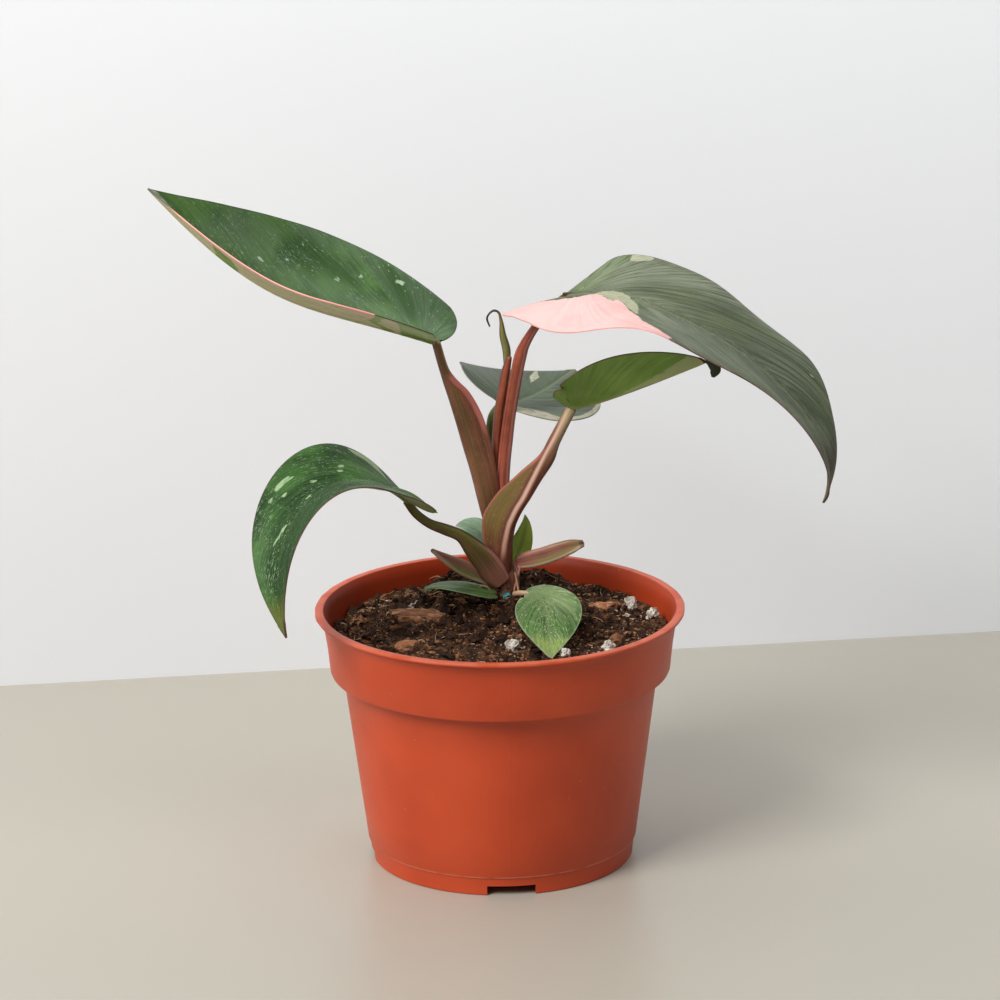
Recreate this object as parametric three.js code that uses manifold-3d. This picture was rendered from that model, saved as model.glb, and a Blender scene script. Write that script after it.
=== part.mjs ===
// Pink princess philodendron growing in its moulded nursery pot.
// Millimetres, +Z up. The origin is the middle of the pot's underside, on the surface that it stands on.
// -Y is the front. Every leaf is a petiole (stalk) and a blade, and each of them is a solid of its own.
import * as THREE from 'three';
import { mergeVertices } from 'three/addons/utils/BufferGeometryUtils.js';
import Module from 'manifold-3d';

const wasm = await Module();
wasm.setup();

// ---------------------------------------------------------------- driving dimensions

const GAP = 0.3; // clearance between pieces that touch

const POT = {
  height: 75,
  rimRadius: 54,
  rimInnerRadius: 51.4,
  rimThickness: 1.5,
  collarTopRadius: 50.2,
  collarBottomRadius: 49.65,
  collarBottom: 56.4,
  bodyTopRadius: 46,
  bodyBottomRadius: 39.5,
  footHeight: 5.6,
  footRadius: 38.5,
  footWidth: 2.4,
  wall: 1.3,
  undersideHeight: 3, // the floor's underside stands this far clear of the surface
  padRadius: 14, // a flat middle pad comes down to the surface
  segments: 56,
};
const FOOT_NOTCH = { count: 4, width: 14, height: 3, turn: THREE.MathUtils.degToRad(3.7) };
const DRAIN_HOLE = { count: 4, radius: 4, circle: 25 };

const SOIL = {
  edgeLevel: 67.5,
  mound: { x: 2, y: 12, height: 8.5, spread: 17 },
  hollow: { x: -4, y: -9, depth: 2.6, spread: 8 },
  lumps: 1.0,
  rings: 11,
  segments: 48,
};

const STEM = { x: 1.6, y: 11, radius: 4.2, bottom: 58, top: 87 };

// The outline that all blades share, as fractions of a blade's length and of its half-width. It runs from
// the sinus, where the petiole joins, back round the lobe, out to the widest place and on to the tip.
const OUTLINE = [
  [0, 0], [-0.07, 0.12], [-0.11, 0.35], [-0.08, 0.62], [0.03, 0.87], [0.22, 1],
  [0.42, 0.93], [0.62, 0.7], [0.8, 0.4], [0.93, 0.14], [1, 0],
];
// The largest blade's halves differ: one has no lobe and a full shoulder, the other a long drawn-out lobe.
const FULL_OUTLINE = [
  [0, 0], [0.04, 0.12], [0.02, 0.35], [0.015, 0.66], [0.03, 1.12], [0.22, 1.1],
  [0.42, 0.87], [0.62, 0.78], [0.8, 0.37], [0.93, 0.12], [1, 0],
];
const DRAWN_OUTLINE = [
  [0, 0], [-0.16, 0.12], [-0.11, 0.33], [-0.05, 0.56], [0.03, 0.81], [0.22, 0.97],
  [0.42, 1.04], [0.62, 0.61], [0.8, 0.38], [0.93, 0.12], [1, 0],
];
const LOBE_SHARE = 0.4; // the part of the outline whose veins all start at the sinus
const LOBE_ROWS = 0.3; // the share of a blade's rows that lie in that part
const VEIN_SWEEP = 1.15; // how much the side veins' feet crowd toward the sinus
const VEIN_CURVE = 1.3; // how much each side vein bends toward the tip

// rib: the midrib's four Bezier points, from the sinus to the tip
// face: the way the upper face looks, at the sinus and at the tip
// left and right, seen from above with the tip ahead: width, how far the lobe reaches back (a share of the
// outline's), the angle by which that half stands up from flat, at the sinus and at the tip, and the outline
// where it isn't the shared one
// wave: how high the margin waves, how many waves fit in the length, and where they start in degrees
const BLADES = {
  a: {
    rib: [[-17.8, 9.5, 152.2], [-56, 14, 164], [-64.5, 15, 158], [-99, 10.5, 198]],
    face: [[0.23, 0.17, 1], [0.54, -0.29, 0.76]],
    left: { width: 29.3, lobe: 0.05, fold: [9, 36] },
    right: { width: 30.6, lobe: 0.4, fold: [21, 55] },
    thickness: 0.7, rows: 17, columns: 4, color: 0x4b5f44,
  },
  b: {
    rib: [[19.5, 4.5, 166.5], [48, -6, 175], [102, -36, 141.5], [91.5, -30, 114]],
    face: [[-0.44, 0.09, 0.43], [1, -0.05, 0.95]],
    left: { width: 36, lobe: 1, fold: [-5, 23], wave: [0.55, 2.6, 36], outline: FULL_OUTLINE },
    right: { width: 34.5, lobe: 1, fold: [0, 1], wave: [1.8, 2.1, 86], outline: DRAWN_OUTLINE },
    thickness: 0.7, rows: 17, columns: 4, color: 0xd58a92,
  },
  c: {
    rib: [[21.3, -3.3, 135.7], [26, -4.5, 135.2], [62, -13.5, 152.2], [58.3, -20.7, 152.9]],
    face: [[-0.03, 0.14, 1], [0.11, 0.41, 0.95]],
    left: { width: 18, lobe: 0.9, fold: [31, 32] },
    right: { width: 18, lobe: 0.9, fold: [29, 38] },
    thickness: 0.7, rows: 14, columns: 4, color: 0x9aa56b,
  },
  d: {
    rib: [[1.7, 18.8, 131.3], [10.5, 30, 128.5], [16.5, 44.5, 130], [23.5, 57.5, 131]],
    face: [[0.13, -0.09, 0.98], [0, 0, 1]],
    left: { width: 23, lobe: 0.8, fold: [18, 4] },
    right: { width: 22.5, lobe: 0.95, fold: [2, -2] },
    thickness: 0.7, rows: 14, columns: 4, color: 0x6f7c66,
  },
  e: {
    rib: [[-26.3, -3, 108.4], [-43.7, -13, 128], [-69, -36.7, 116.2], [-60, -44.4, 80.5]],
    face: [[0.14, 0, 0.44], [-0.93, -0.69, -0.2]],
    left: { width: 19.6, lobe: 1, fold: [13, 14] },
    right: { width: 19.5, lobe: 0.95, fold: [3, 21] },
    thickness: 0.7, rows: 17, columns: 4, color: 0x3f5b38,
  },
  round: {
    rib: [[9, -9.2, 81.8], [15, -11.6, 82.4], [13.6, -25, 72.4], [14.8, -31, 69]],
    face: [[0.05, 0, 1], [0.12, -0.3, 1]],
    left: { width: 10.8, lobe: 0.9, fold: [0, 6] },
    right: { width: 9.2, lobe: 0.9, fold: [1, 7] },
    thickness: 0.7, rows: 12, columns: 3, color: 0x5f8a55,
  },
  folded: {
    rib: [[-2.6, -0.5, 79.2], [-9.3, -0.8, 81.2], [-22.8, -1.7, 84], [-21.2, -2.9, 79.8]],
    face: [[0, 0.14, 1], [-0.3, 0.13, 1]],
    left: { width: 7.2, lobe: 0.9, fold: [-5, -4] },
    right: { width: 7.2, lobe: 0.9, fold: [6, 7] },
    thickness: 0.6, rows: 12, columns: 3, color: 0x4f7148,
  },
  behind_left: {
    rib: [[-4, 15.5, 92.5], [-6, 16, 95.5], [-9, 16.5, 97.5], [-12.6, 17, 96.4]],
    face: [[0.3, -0.6, 0.8], [-0.1, -0.5, 1]],
    left: { width: 3.4, lobe: 0.5, fold: [10, 10] },
    right: { width: 3.4, lobe: 0.5, fold: [10, 10] },
    thickness: 0.6, rows: 8, columns: 2, color: 0x6d8c79,
  },
  behind_right: {
    rib: [[4.8, 14.7, 84.5], [5.8, 17.5, 89.5], [7, 18, 94], [7, 17, 99]],
    face: [[0.2, -1, 0.2], [0.1, -1, 0.1]],
    left: { width: 2.6, lobe: 0.5, fold: [16, 12] },
    right: { width: 2.6, lobe: 0.5, fold: [16, 12] },
    thickness: 0.6, rows: 8, columns: 2, color: 0x76a63c,
  },
};

// Each stalk is a row of stations: x, y, z, the half-widths to its left and right as seen from the front, and
// its half-depth. A half-width that grows toward the crown is a sheath wing. The innermost stalk comes first,
// and each is cut clear of the ones before it.
const STALKS = {
  petiole_b: {
    color: 0xa85560,
    stations: [
      [1.1, 11.5, 85.6, 2.1, 2.1, 1.9], [1.5, 11, 111.6, 1.9, 1.9, 1.9], [2.5, 10.8, 122.2, 1.9, 1.9, 1.9],
      [3.5, 10.5, 129.8, 1.8, 1.8, 1.8], [5.5, 9.8, 141.4, 1.8, 1.8, 1.8], [6.8, 9.2, 147.7, 1.8, 1.8, 1.7],
      [8, 8.8, 151.1, 1.5, 1.5, 1.6], [11, 8, 156.3, 1.2, 1.2, 1.4], [15, 6.5, 161.6, 1.2, 1.2, 1.4],
      [19, 5.2, 165.4, 1.2, 1.2, 1.3],
    ],
  },
  new_leaf_sheath: {
    color: 0xa04e55,
    stations: [
      [-0.1, 13, 85.1, 1.8, 1.5, 1.6], [-0.6, 12.8, 111.1, 1.3, 1.3, 1.6], [-0.5, 12.6, 120.3, 1.3, 1.3, 1.7],
      [0.4, 12.4, 129.3, 1.4, 1.4, 1.7], [1.4, 12.2, 135.4, 1.3, 1.3, 1.6], [2.7, 12, 142.3, 1.1, 1.1, 1.4],
      [3.9, 11.6, 147.2, 0.7, 0.7, 1],
    ],
  },
  new_leaf: {
    color: 0x77883f,
    stations: [
      [2.8, 14.2, 144.1, 1, 1, 1], [2.8, 13.8, 148.4, 1.2, 1.2, 1.2], [1.8, 13.4, 153, 1, 1, 1],
      [1.3, 13, 157.6, 0.5, 0.5, 0.6], [0.6, 12.8, 159.9, 0.35, 0.35, 0.4],
      [-0.6, 12.6, 160.5, 0.35, 0.35, 0.35], [-1.9, 12.4, 159.8, 0.3, 0.3, 0.35],
      [-2.7, 12.3, 158.3, 0.3, 0.3, 0.3], [-1.9, 12.2, 155.7, 0.25, 0.25, 0.25],
    ],
  },
  petiole_d: {
    color: 0x7d8f52,
    stations: [
      [0.2, 15, 84.5, 1.8, 1.8, 1.8], [-0.4, 16, 108.7, 1.8, 1.8, 1.7], [-1.4, 17, 120.3, 1.6, 1.6, 1.6],
      [-1.9, 17.5, 124.1, 1.5, 1.5, 1.5], [-1.3, 18, 127.9, 1.3, 1.3, 1.4], [0.8, 18.5, 130.6, 1.2, 1.2, 1.3],
    ],
  },
  petiole_a: {
    color: 0x9a6f62,
    stations: [
      [0.2, 10.5, 84.4, 2.1, 2.3, 2], [-2, 10, 95.2, 1.9, 3.8, 2.2], [-4.2, 9.5, 104.5, 1.9, 5, 2.2],
      [-6.3, 9, 113.8, 1.9, 5.8, 2.2], [-8.4, 9, 121.4, 1.9, 6.4, 2.1], [-10.4, 9, 129, 1.9, 6.1, 2],
      [-12.5, 9, 136, 1.8, 4.6, 1.9], [-14, 9.3, 140.5, 1.7, 2.3, 1.7], [-15.3, 9.5, 144, 1.4, 1.4, 1.5],
      [-17.4, 10, 151.6, 1.3, 1.3, 1.4],
    ],
  },
  petiole_c: {
    color: 0xb98579,
    stations: [
      [1, 9, 81.7, 2.9, 2.3, 2], [1.7, 8, 88.2, 5.3, 2.3, 2.4], [2.3, 7, 93, 7.1, 1.9, 2.4],
      [3.4, 6, 98, 8.4, 1.6, 2.3], [5.3, 5, 102.7, 7.8, 1.6, 2.2], [8, 4, 107.5, 6.7, 1.7, 2.1],
      [10.6, 3, 113, 4.6, 1.6, 2], [13.7, 1.5, 119.4, 2, 1.9, 1.8], [16.5, 0, 125, 1.9, 1.9, 1.7],
      [21, -2.6, 134.8, 1.6, 1.6, 1.5],
    ],
  },
  petiole_e: {
    color: 0x8b6f55,
    stations: [
      [1, 7.5, 79.8, 1.8, 1.8, 1.8], [-1.6, 6.5, 83.2, 3.8, 3.8, 2.4], [-4, 5.5, 87.2, 3.8, 3.6, 2.4],
      [-7.3, 4, 91.6, 3.1, 2.9, 2.2], [-11, 2.5, 95.8, 1.9, 1.9, 1.8], [-15.3, 1.2, 98.6, 1.7, 1.7, 1.5],
      [-19.6, 0, 101.5, 1.4, 1.4, 1.4], [-23, -1, 104.8, 1.3, 1.3, 1.3], [-26, -2.6, 108, 1.2, 1.2, 1.2],
    ],
  },
  scale_left: {
    color: 0x7c6a52,
    stations: [
      [-2.2, 7.4, 79.8, 1.3, 1.3, 1], [-5.1, 6.2, 82.1, 2, 2, 1.1], [-8.6, 5.2, 84.3, 2.4, 2.4, 1.1],
      [-12, 4.4, 86.4, 2.2, 2.2, 1], [-15.8, 3.6, 88.8, 1.5, 1.5, 0.8], [-19.8, 3, 91.6, 0.5, 0.5, 0.4],
    ],
  },
  scale_right: {
    color: 0xa88472,
    stations: [
      [4.9, 9.2, 85.3, 1.9, 1.9, 1.1], [8.4, 8.6, 86.4, 2.6, 2.6, 1.3], [12.8, 7.6, 87.8, 2.7, 2.7, 1.3],
      [17.2, 6.8, 89.6, 2.6, 2.6, 1.3], [21.3, 6.2, 91.2, 1.9, 1.9, 1.1], [24.8, 5.8, 92.2, 0.6, 0.6, 0.6],
    ],
  },
  petiole_round: {
    color: 0xd8b6a4,
    stations: [
      [4.2, 3, 77.8, 0.8, 0.8, 0.8], [6.2, -2, 79.6, 0.8, 0.8, 0.8], [8.8, -8.6, 81.5, 0.7, 0.7, 0.7],
    ],
  },
};

const BARK_CHIPS = [
  { at: [-23, 5, 70.2], size: [18, 8, 2.6], turn: -14, tilt: 10 },
  { at: [30.5, 14, 69.6], size: [10, 6, 2.2], turn: 18, tilt: -8 },
  { at: [-27, -17, 68.6], size: [8, 5, 2], turn: 32, tilt: 5 },
];
const PERLITE_GRAINS = [
  [-24.6, 14, 70.4, 2.2], [3.4, -19, 69, 2.3], [18.4, -27, 69, 1.9], [31.4, -21, 69, 2.2],
  [45, 8, 69.6, 1.9], [38.6, 15, 70.2, 2.1],
];
const PRILL = { at: [2.2, 3.2, 77.2], radius: 1.5 };

// ---------------------------------------------------------------- solids

function toSolid(geometry) {
  const bare = geometry.index ? geometry.clone() : geometry;
  bare.deleteAttribute('normal');
  bare.deleteAttribute('uv');
  const merged = mergeVertices(bare, 1e-4);
  const mesh = new wasm.Mesh({
    numProp: 3,
    vertProperties: new Float32Array(merged.attributes.position.array),
    triVerts: new Uint32Array(merged.index.array),
  });
  return new wasm.Manifold(mesh);
}

function toGeometry(solid) {
  const mesh = solid.getMesh();
  const geometry = new THREE.BufferGeometry();
  geometry.setAttribute('position', new THREE.BufferAttribute(mesh.vertProperties, 3));
  geometry.setIndex(new THREE.BufferAttribute(mesh.triVerts, 1));
  geometry.computeVertexNormals();
  return geometry;
}

function biggestPiece(solid) {
  return solid.decompose().reduce((best, piece) => (piece.volume() > best.volume() ? piece : best));
}

function cutBy(solid, cutters) {
  return biggestPiece(cutters.reduce((rest, cutter) => rest.subtract(cutter), solid));
}

function fromFaces(points, faces) {
  const geometry = new THREE.BufferGeometry();
  const coordinates = points.flatMap((point) => point.toArray());
  geometry.setAttribute('position', new THREE.Float32BufferAttribute(coordinates, 3));
  geometry.setIndex(faces.flat());
  return geometry;
}

const vector = (xyz) => new THREE.Vector3(...xyz);

// ---------------------------------------------------------------- pot

function potWallRadius(z) {
  // outside of the tapering body, below the collar
  const share = (z - POT.footHeight) / (POT.collarBottom - POT.footHeight);
  return THREE.MathUtils.lerp(POT.bodyBottomRadius, POT.bodyTopRadius, share);
}

function potOutside() {
  const rimBottom = POT.height - POT.rimThickness;
  return [
    [POT.footRadius, 0],
    [POT.footRadius + 0.55, POT.footHeight - 0.2],
    [POT.bodyBottomRadius, POT.footHeight],
    [potWallRadius(30), 30],
    [POT.bodyTopRadius, POT.collarBottom],
    [POT.collarBottomRadius - 0.7, POT.collarBottom + 0.1],
    [POT.collarBottomRadius, POT.collarBottom + 0.8],
    [POT.collarTopRadius, rimBottom - 0.8],
    [POT.collarTopRadius + 0.6, rimBottom - 0.2],
    [POT.rimRadius - 0.4, rimBottom],
    [POT.rimRadius, rimBottom + 0.4],
    [POT.rimRadius, POT.height - 0.4],
    [POT.rimRadius - 0.4, POT.height],
  ];
}

// the inside, from the rim down to the middle of the floor
function potInside() {
  const collarInner = POT.collarTopRadius - POT.wall;
  const ledge = POT.collarBottom + POT.wall;
  const floor = POT.undersideHeight + POT.wall;
  return [
    [POT.rimInnerRadius, POT.height],
    [POT.rimInnerRadius - 1.2, POT.height - 1],
    [collarInner, POT.height - 4],
    [POT.collarBottomRadius - POT.wall, ledge + 0.6],
    [POT.collarBottomRadius - POT.wall - 0.6, ledge],
    [POT.bodyTopRadius - POT.wall, ledge - 0.4],
    [potWallRadius(30) - POT.wall, 30],
    [potWallRadius(floor + 3) - POT.wall, floor + 3],
    [potWallRadius(floor) - POT.wall - 1.8, floor],
    [POT.padRadius + 2.4, floor],
    [POT.padRadius + 0.4, POT.wall],
  ];
}

function lathe(profile, segments) {
  const points = profile.map(([radius, z]) => new THREE.Vector2(radius, z));
  return toSolid(new THREE.LatheGeometry(points, segments).rotateX(Math.PI / 2));
}

function potSolid() {
  const underside = [
    [0, 0],
    [POT.padRadius, 0],
    [POT.padRadius + 2, POT.undersideHeight],
    [POT.footRadius - POT.footWidth - 0.8, POT.undersideHeight],
    [POT.footRadius - POT.footWidth, 0],
  ];
  let pot = lathe([...underside, ...potOutside(), ...potInside(), [0, POT.wall]], POT.segments);
  for (let i = 0; i < FOOT_NOTCH.count; i++) {
    const turn = FOOT_NOTCH.turn + (i * 2 * Math.PI) / FOOT_NOTCH.count;
    const notch = new THREE.BoxGeometry(FOOT_NOTCH.width, 8, 2 * FOOT_NOTCH.height);
    notch.translate(0, -POT.footRadius, 0).rotateZ(turn);
    pot = pot.subtract(toSolid(notch));
  }
  for (let i = 0; i < DRAIN_HOLE.count; i++) {
    const turn = FOOT_NOTCH.turn + ((i + 0.5) * 2 * Math.PI) / DRAIN_HOLE.count;
    const hole = new THREE.CylinderGeometry(DRAIN_HOLE.radius, DRAIN_HOLE.radius, 12, 16);
    hole.rotateX(Math.PI / 2).translate(0, -DRAIN_HOLE.circle, 0).rotateZ(turn);
    pot = pot.subtract(toSolid(hole));
  }
  return pot;
}

// ---------------------------------------------------------------- soil

const bump = (x, y, { x: cx, y: cy, spread }) =>
  Math.exp(-((x - cx) ** 2 + (y - cy) ** 2) / (2 * spread ** 2));

function soilLevel(x, y) {
  const lumps =
    Math.sin(0.41 * x + 1.3) * Math.sin(0.37 * y - 0.6) +
    0.7 * Math.sin(0.83 * x - 0.52 * y + 2.1) * Math.cos(0.71 * y + 0.4 * x) +
    0.5 * Math.sin(1.27 * x + 0.9) * Math.sin(1.43 * y + 2.7);
  return (
    SOIL.edgeLevel + SOIL.mound.height * bump(x, y, SOIL.mound) -
    SOIL.hollow.depth * bump(x, y, SOIL.hollow) + SOIL.lumps * lumps
  );
}

function soilSolid() {
  // the pot's inside, drawn in by the gap, with the lumpy top above it
  const wall = potInside()
    .slice(3)
    .map(([radius, z]) => [radius - GAP, z + GAP])
    .concat([[0, POT.wall + GAP]]);
  const topRadius = POT.collarBottomRadius - POT.wall - GAP + 0.2;
  const points = [];
  const ring = (radius, level) => {
    const start = points.length;
    for (let j = 0; j < SOIL.segments; j++) {
      const angle = (2 * Math.PI * j) / SOIL.segments;
      const [x, y] = [radius * Math.cos(angle), radius * Math.sin(angle)];
      points.push(new THREE.Vector3(x, y, level(x, y)));
    }
    return start;
  };
  points.push(new THREE.Vector3(0, 0, soilLevel(0, 0)));
  const starts = [];
  for (let i = 1; i <= SOIL.rings; i++) starts.push(ring((topRadius * i) / SOIL.rings, soilLevel));
  for (const [radius, z] of wall.slice(0, -1)) starts.push(ring(radius, () => z));
  const bottom = points.push(new THREE.Vector3(0, 0, wall.at(-1)[1])) - 1;
  const faces = [];
  for (let j = 0; j < SOIL.segments; j++) {
    const next = (j + 1) % SOIL.segments;
    faces.push([0, starts[0] + j, starts[0] + next]);
    for (let i = 0; i + 1 < starts.length; i++) {
      const [a, b] = [starts[i] + j, starts[i] + next];
      const [c, d] = [starts[i + 1] + j, starts[i + 1] + next];
      faces.push([a, c, b], [b, c, d]);
    }
    faces.push([starts.at(-1) + next, starts.at(-1) + j, bottom]);
  }
  return toSolid(fromFaces(points, faces));
}

// ---------------------------------------------------------------- stalks

// A closed tube through the stations, with an egg-shaped section. grow makes a larger copy to cut with.
function stalkSolid({ stations, sides = 10, steps = 2 }, grow = 0) {
  const path = new THREE.CatmullRomCurve3(stations.map((s) => vector(s)));
  const count = (stations.length - 1) * steps;
  const front = new THREE.Vector3(0, -1, 0);
  const points = [];
  const faces = [];
  const centre = new THREE.Vector3();
  for (let i = 0; i <= count; i++) {
    const share = i / count;
    const at = share * (stations.length - 1);
    const from = Math.min(Math.floor(at), stations.length - 2);
    const [left, right, depth] = [3, 4, 5].map(
      (k) => THREE.MathUtils.lerp(stations[from][k], stations[from + 1][k], at - from) + grow,
    );
    const tangent = path.getTangent(share);
    const across = new THREE.Vector3().crossVectors(tangent, front).normalize();
    const outward = new THREE.Vector3().crossVectors(across, tangent);
    path.getPoint(share, centre);
    if (i === 0) centre.addScaledVector(tangent, -grow);
    if (i === count) centre.addScaledVector(tangent, grow);
    for (let j = 0; j < sides; j++) {
      const angle = (2 * Math.PI * j) / sides;
      const width = (Math.cos(angle) > 0 ? right : left) * Math.cos(angle);
      const height = depth * Math.sin(angle);
      points.push(centre.clone().addScaledVector(across, width).addScaledVector(outward, height));
    }
  }
  for (let i = 0; i < count; i++) {
    for (let j = 0; j < sides; j++) {
      const [a, b] = [i * sides + j, i * sides + ((j + 1) % sides)];
      faces.push([a, a + sides, b], [b, a + sides, b + sides]);
    }
  }
  for (let j = 1; j + 1 < sides; j++) {
    faces.push([0, j, j + 1], [count * sides, count * sides + j + 1, count * sides + j]);
  }
  return toSolid(fromFaces(points, faces));
}

// ---------------------------------------------------------------- blades

const outlineCurve = (points) => new THREE.SplineCurve(points.map(([u, v]) => new THREE.Vector2(u, v)));

function bladeShape({ rib, face, left, right }) {
  const midrib = new THREE.CubicBezierCurve3(...rib.map(vector));
  const length = midrib.getLength();
  const [faceStart, faceEnd] = face.map(vector);
  const outlines = new Map([left, right].map((half) => [half, outlineCurve(half.outline ?? OUTLINE)]));

  // a point of the mid-surface: u along the midrib, v out to the side, both in millimetres
  function surface(u, v, half) {
    const share = THREE.MathUtils.clamp(u / length, 0, 1);
    const tangent = midrib.getTangentAt(share);
    const up = faceStart.clone().lerp(faceEnd, share);
    up.addScaledVector(tangent, -up.dot(tangent)).normalize();
    const side = new THREE.Vector3().crossVectors(up, tangent).multiplyScalar(half === left ? 1 : -1);
    const fold = THREE.MathUtils.degToRad(THREE.MathUtils.lerp(half.fold[0], half.fold[1], share));
    const [height, cycles, start] = half.wave ?? [0, 1, 0];
    const phase = 2 * Math.PI * cycles * (u / length) + THREE.MathUtils.degToRad(start);
    const lift = height * Math.cos(phase) * (v / half.width) ** 2;
    return midrib.getPointAt(share)
      .addScaledVector(tangent, u - share * length)
      .addScaledVector(side, v * Math.cos(fold))
      .addScaledVector(up, v * Math.sin(fold) + lift);
  }

  function edge(s, half) {
    const { x, y } = outlines.get(half).getPoint(s);
    return [x * length * (x < 0 ? half.lobe : 1), Math.max(y, 0) * half.width];
  }
  return { length, surface, edge, left, right };
}

// A thin closed blade. Both faces are split into the same triangles. Rows follow the side veins.
function bladeSolid(spec, grow = 0) {
  const shape = bladeShape(spec);
  const { rows, columns } = spec;
  const halfThickness = spec.thickness / 2 + grow;
  const points = [];
  const keys = new Map();
  const lobeRows = Math.round(rows * LOBE_ROWS);

  function station(row, column, half) {
    const share = row < lobeRows ? 0 : (row - lobeRows) / (rows - lobeRows);
    const s = row < lobeRows ? (LOBE_SHARE * row) / lobeRows : LOBE_SHARE + (1 - LOBE_SHARE) * share;
    const foot = shape.length * share ** VEIN_SWEEP;
    const [u, v] = shape.edge(s, half);
    const out = column / columns;
    return [foot + (u - foot) * out ** VEIN_CURVE, v * out];
  }

  function vertex(row, column, half) {
    const onRib = column === 0 || row === 0 || row === rows;
    const ribRow = row <= lobeRows ? 0 : row;
    const key = onRib ? `rib ${row === rows ? rows : ribRow}` : `${half === shape.left} ${row} ${column}`;
    if (keys.has(key)) return keys.get(key);
    const [u, v] = onRib ? station(row === rows ? rows : ribRow, 0, half) : station(row, column, half);
    const step = 0.05;
    const here = shape.surface(u, v, half);
    const along = shape.surface(u + step, v, half).sub(here);
    const outward = onRib
      ? shape.surface(u, step, shape.left).sub(shape.surface(u, step, shape.right))
      : shape.surface(u, v + step, half).sub(here).multiplyScalar(half === shape.left ? 1 : -1);
    const normal = new THREE.Vector3().crossVectors(along, outward).normalize();
    const upper = points.push(here.clone().addScaledVector(normal, halfThickness)) - 1;
    points.push(here.clone().addScaledVector(normal, -halfThickness));
    keys.set(key, upper);
    return upper;
  }

  const faces = [];
  function addBoth(a, b, c) {
    if (a === b || b === c || a === c) return;
    faces.push([a, b, c], [c + 1, b + 1, a + 1]);
  }
  for (const half of [shape.left, shape.right]) {
    const turn = half === shape.left;
    for (let i = 0; i < rows; i++) {
      for (let j = 0; j < columns; j++) {
        const [a, b] = [vertex(i, j, half), vertex(i + 1, j, half)];
        const [c, d] = [vertex(i, j + 1, half), vertex(i + 1, j + 1, half)];
        if (turn) {
          addBoth(a, b, c);
          addBoth(b, d, c);
        } else {
          addBoth(a, c, b);
          addBoth(b, c, d);
        }
      }
      const [a, b] = [vertex(i, columns, half), vertex(i + 1, columns, half)];
      if (a !== b) {
        if (turn) faces.push([a, b, a + 1], [b, b + 1, a + 1]);
        else faces.push([b, a, a + 1], [b, a + 1, b + 1]);
      }
    }
  }
  return toSolid(fromFaces(points, faces));
}

// ---------------------------------------------------------------- loose bits on the soil

function chipSolid({ at, size, turn, tilt }, grow = 0) {
  const chip = new THREE.DodecahedronGeometry(0.62);
  chip.scale(size[0] + 2 * grow, size[1] + 2 * grow, size[2] + 2 * grow);
  chip.rotateX(THREE.MathUtils.degToRad(tilt)).rotateZ(THREE.MathUtils.degToRad(turn)).translate(...at);
  return toSolid(chip);
}

function grainSolid([x, y, z, radius], grow = 0) {
  return toSolid(new THREE.IcosahedronGeometry(radius + grow, 1).translate(x, y, z));
}

// ---------------------------------------------------------------- the plant in its pot

const plant = new THREE.Group();

function addPiece(name, solid, color, roughness = 0.6) {
  const material = new THREE.MeshStandardMaterial({ color, roughness, metalness: 0 });
  const mesh = new THREE.Mesh(toGeometry(solid), material);
  mesh.name = name;
  plant.add(mesh);
}

addPiece('pot', potSolid(), 0xb84a2b, 0.45);

const stemStations = {
  sides: 12,
  stations: [
    [STEM.x, STEM.y, STEM.bottom, STEM.radius, STEM.radius, STEM.radius],
    [STEM.x, STEM.y, STEM.top - 6, STEM.radius, STEM.radius, STEM.radius],
    [STEM.x, STEM.y, STEM.top, 2, 2, 2],
  ],
};
addPiece('stem', stalkSolid(stemStations), 0x8a6a55, 0.7);

const bladeCutters = Object.values(BLADES).map((spec) => bladeSolid(spec, GAP));
const stalkCutters = [stalkSolid(stemStations, GAP)];
for (const [name, stalk] of Object.entries(STALKS)) {
  addPiece(name, cutBy(stalkSolid(stalk), [...stalkCutters, ...bladeCutters]), stalk.color);
  stalkCutters.push(stalkSolid(stalk, GAP));
}

for (const [name, spec] of Object.entries(BLADES)) {
  addPiece(`blade_${name}`, bladeSolid(spec), spec.color, 0.4);
}

// Bits lie in the soil's top, each in a pocket of its own.
const bits = [];
BARK_CHIPS.forEach((chip, i) => {
  bits.push({ name: `bark_chip_${i + 1}`, make: (grow) => chipSolid(chip, grow), color: 0x8a5a3c });
});
PERLITE_GRAINS.forEach((grain, i) => {
  bits.push({ name: `perlite_grain_${i + 1}`, make: (grow) => grainSolid(grain, grow), color: 0xd9d5cc });
});
bits.push({
  name: 'fertiliser_prill',
  make: (grow) => grainSolid([...PRILL.at, PRILL.radius], grow),
  color: 0x2b8f95,
});
const pockets = bits.map((bit) => bit.make(GAP));
addPiece('soil', cutBy(soilSolid(), [...stalkCutters, ...bladeCutters, ...pockets]), 0x3b2a22, 1);
for (const bit of bits) addPiece(bit.name, bit.make(0), bit.color, 0.9);

export default plant;
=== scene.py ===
"""Pink princess philodendron in its nursery pot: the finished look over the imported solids.

Sizes are in millimetres in every class below, and become Blender's metres when a vertex is placed.
The frame is the part's own: the pot's axis is Z, it stands on Z = 0, and -Y is the front.
"""

import logging
import math
import random
from collections.abc import Iterator, Mapping, Sequence
from contextlib import contextmanager
from dataclasses import dataclass, field
from enum import Enum
from typing import Any

import bpy
import numpy as np
from mathutils import Matrix, Vector, noise


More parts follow.
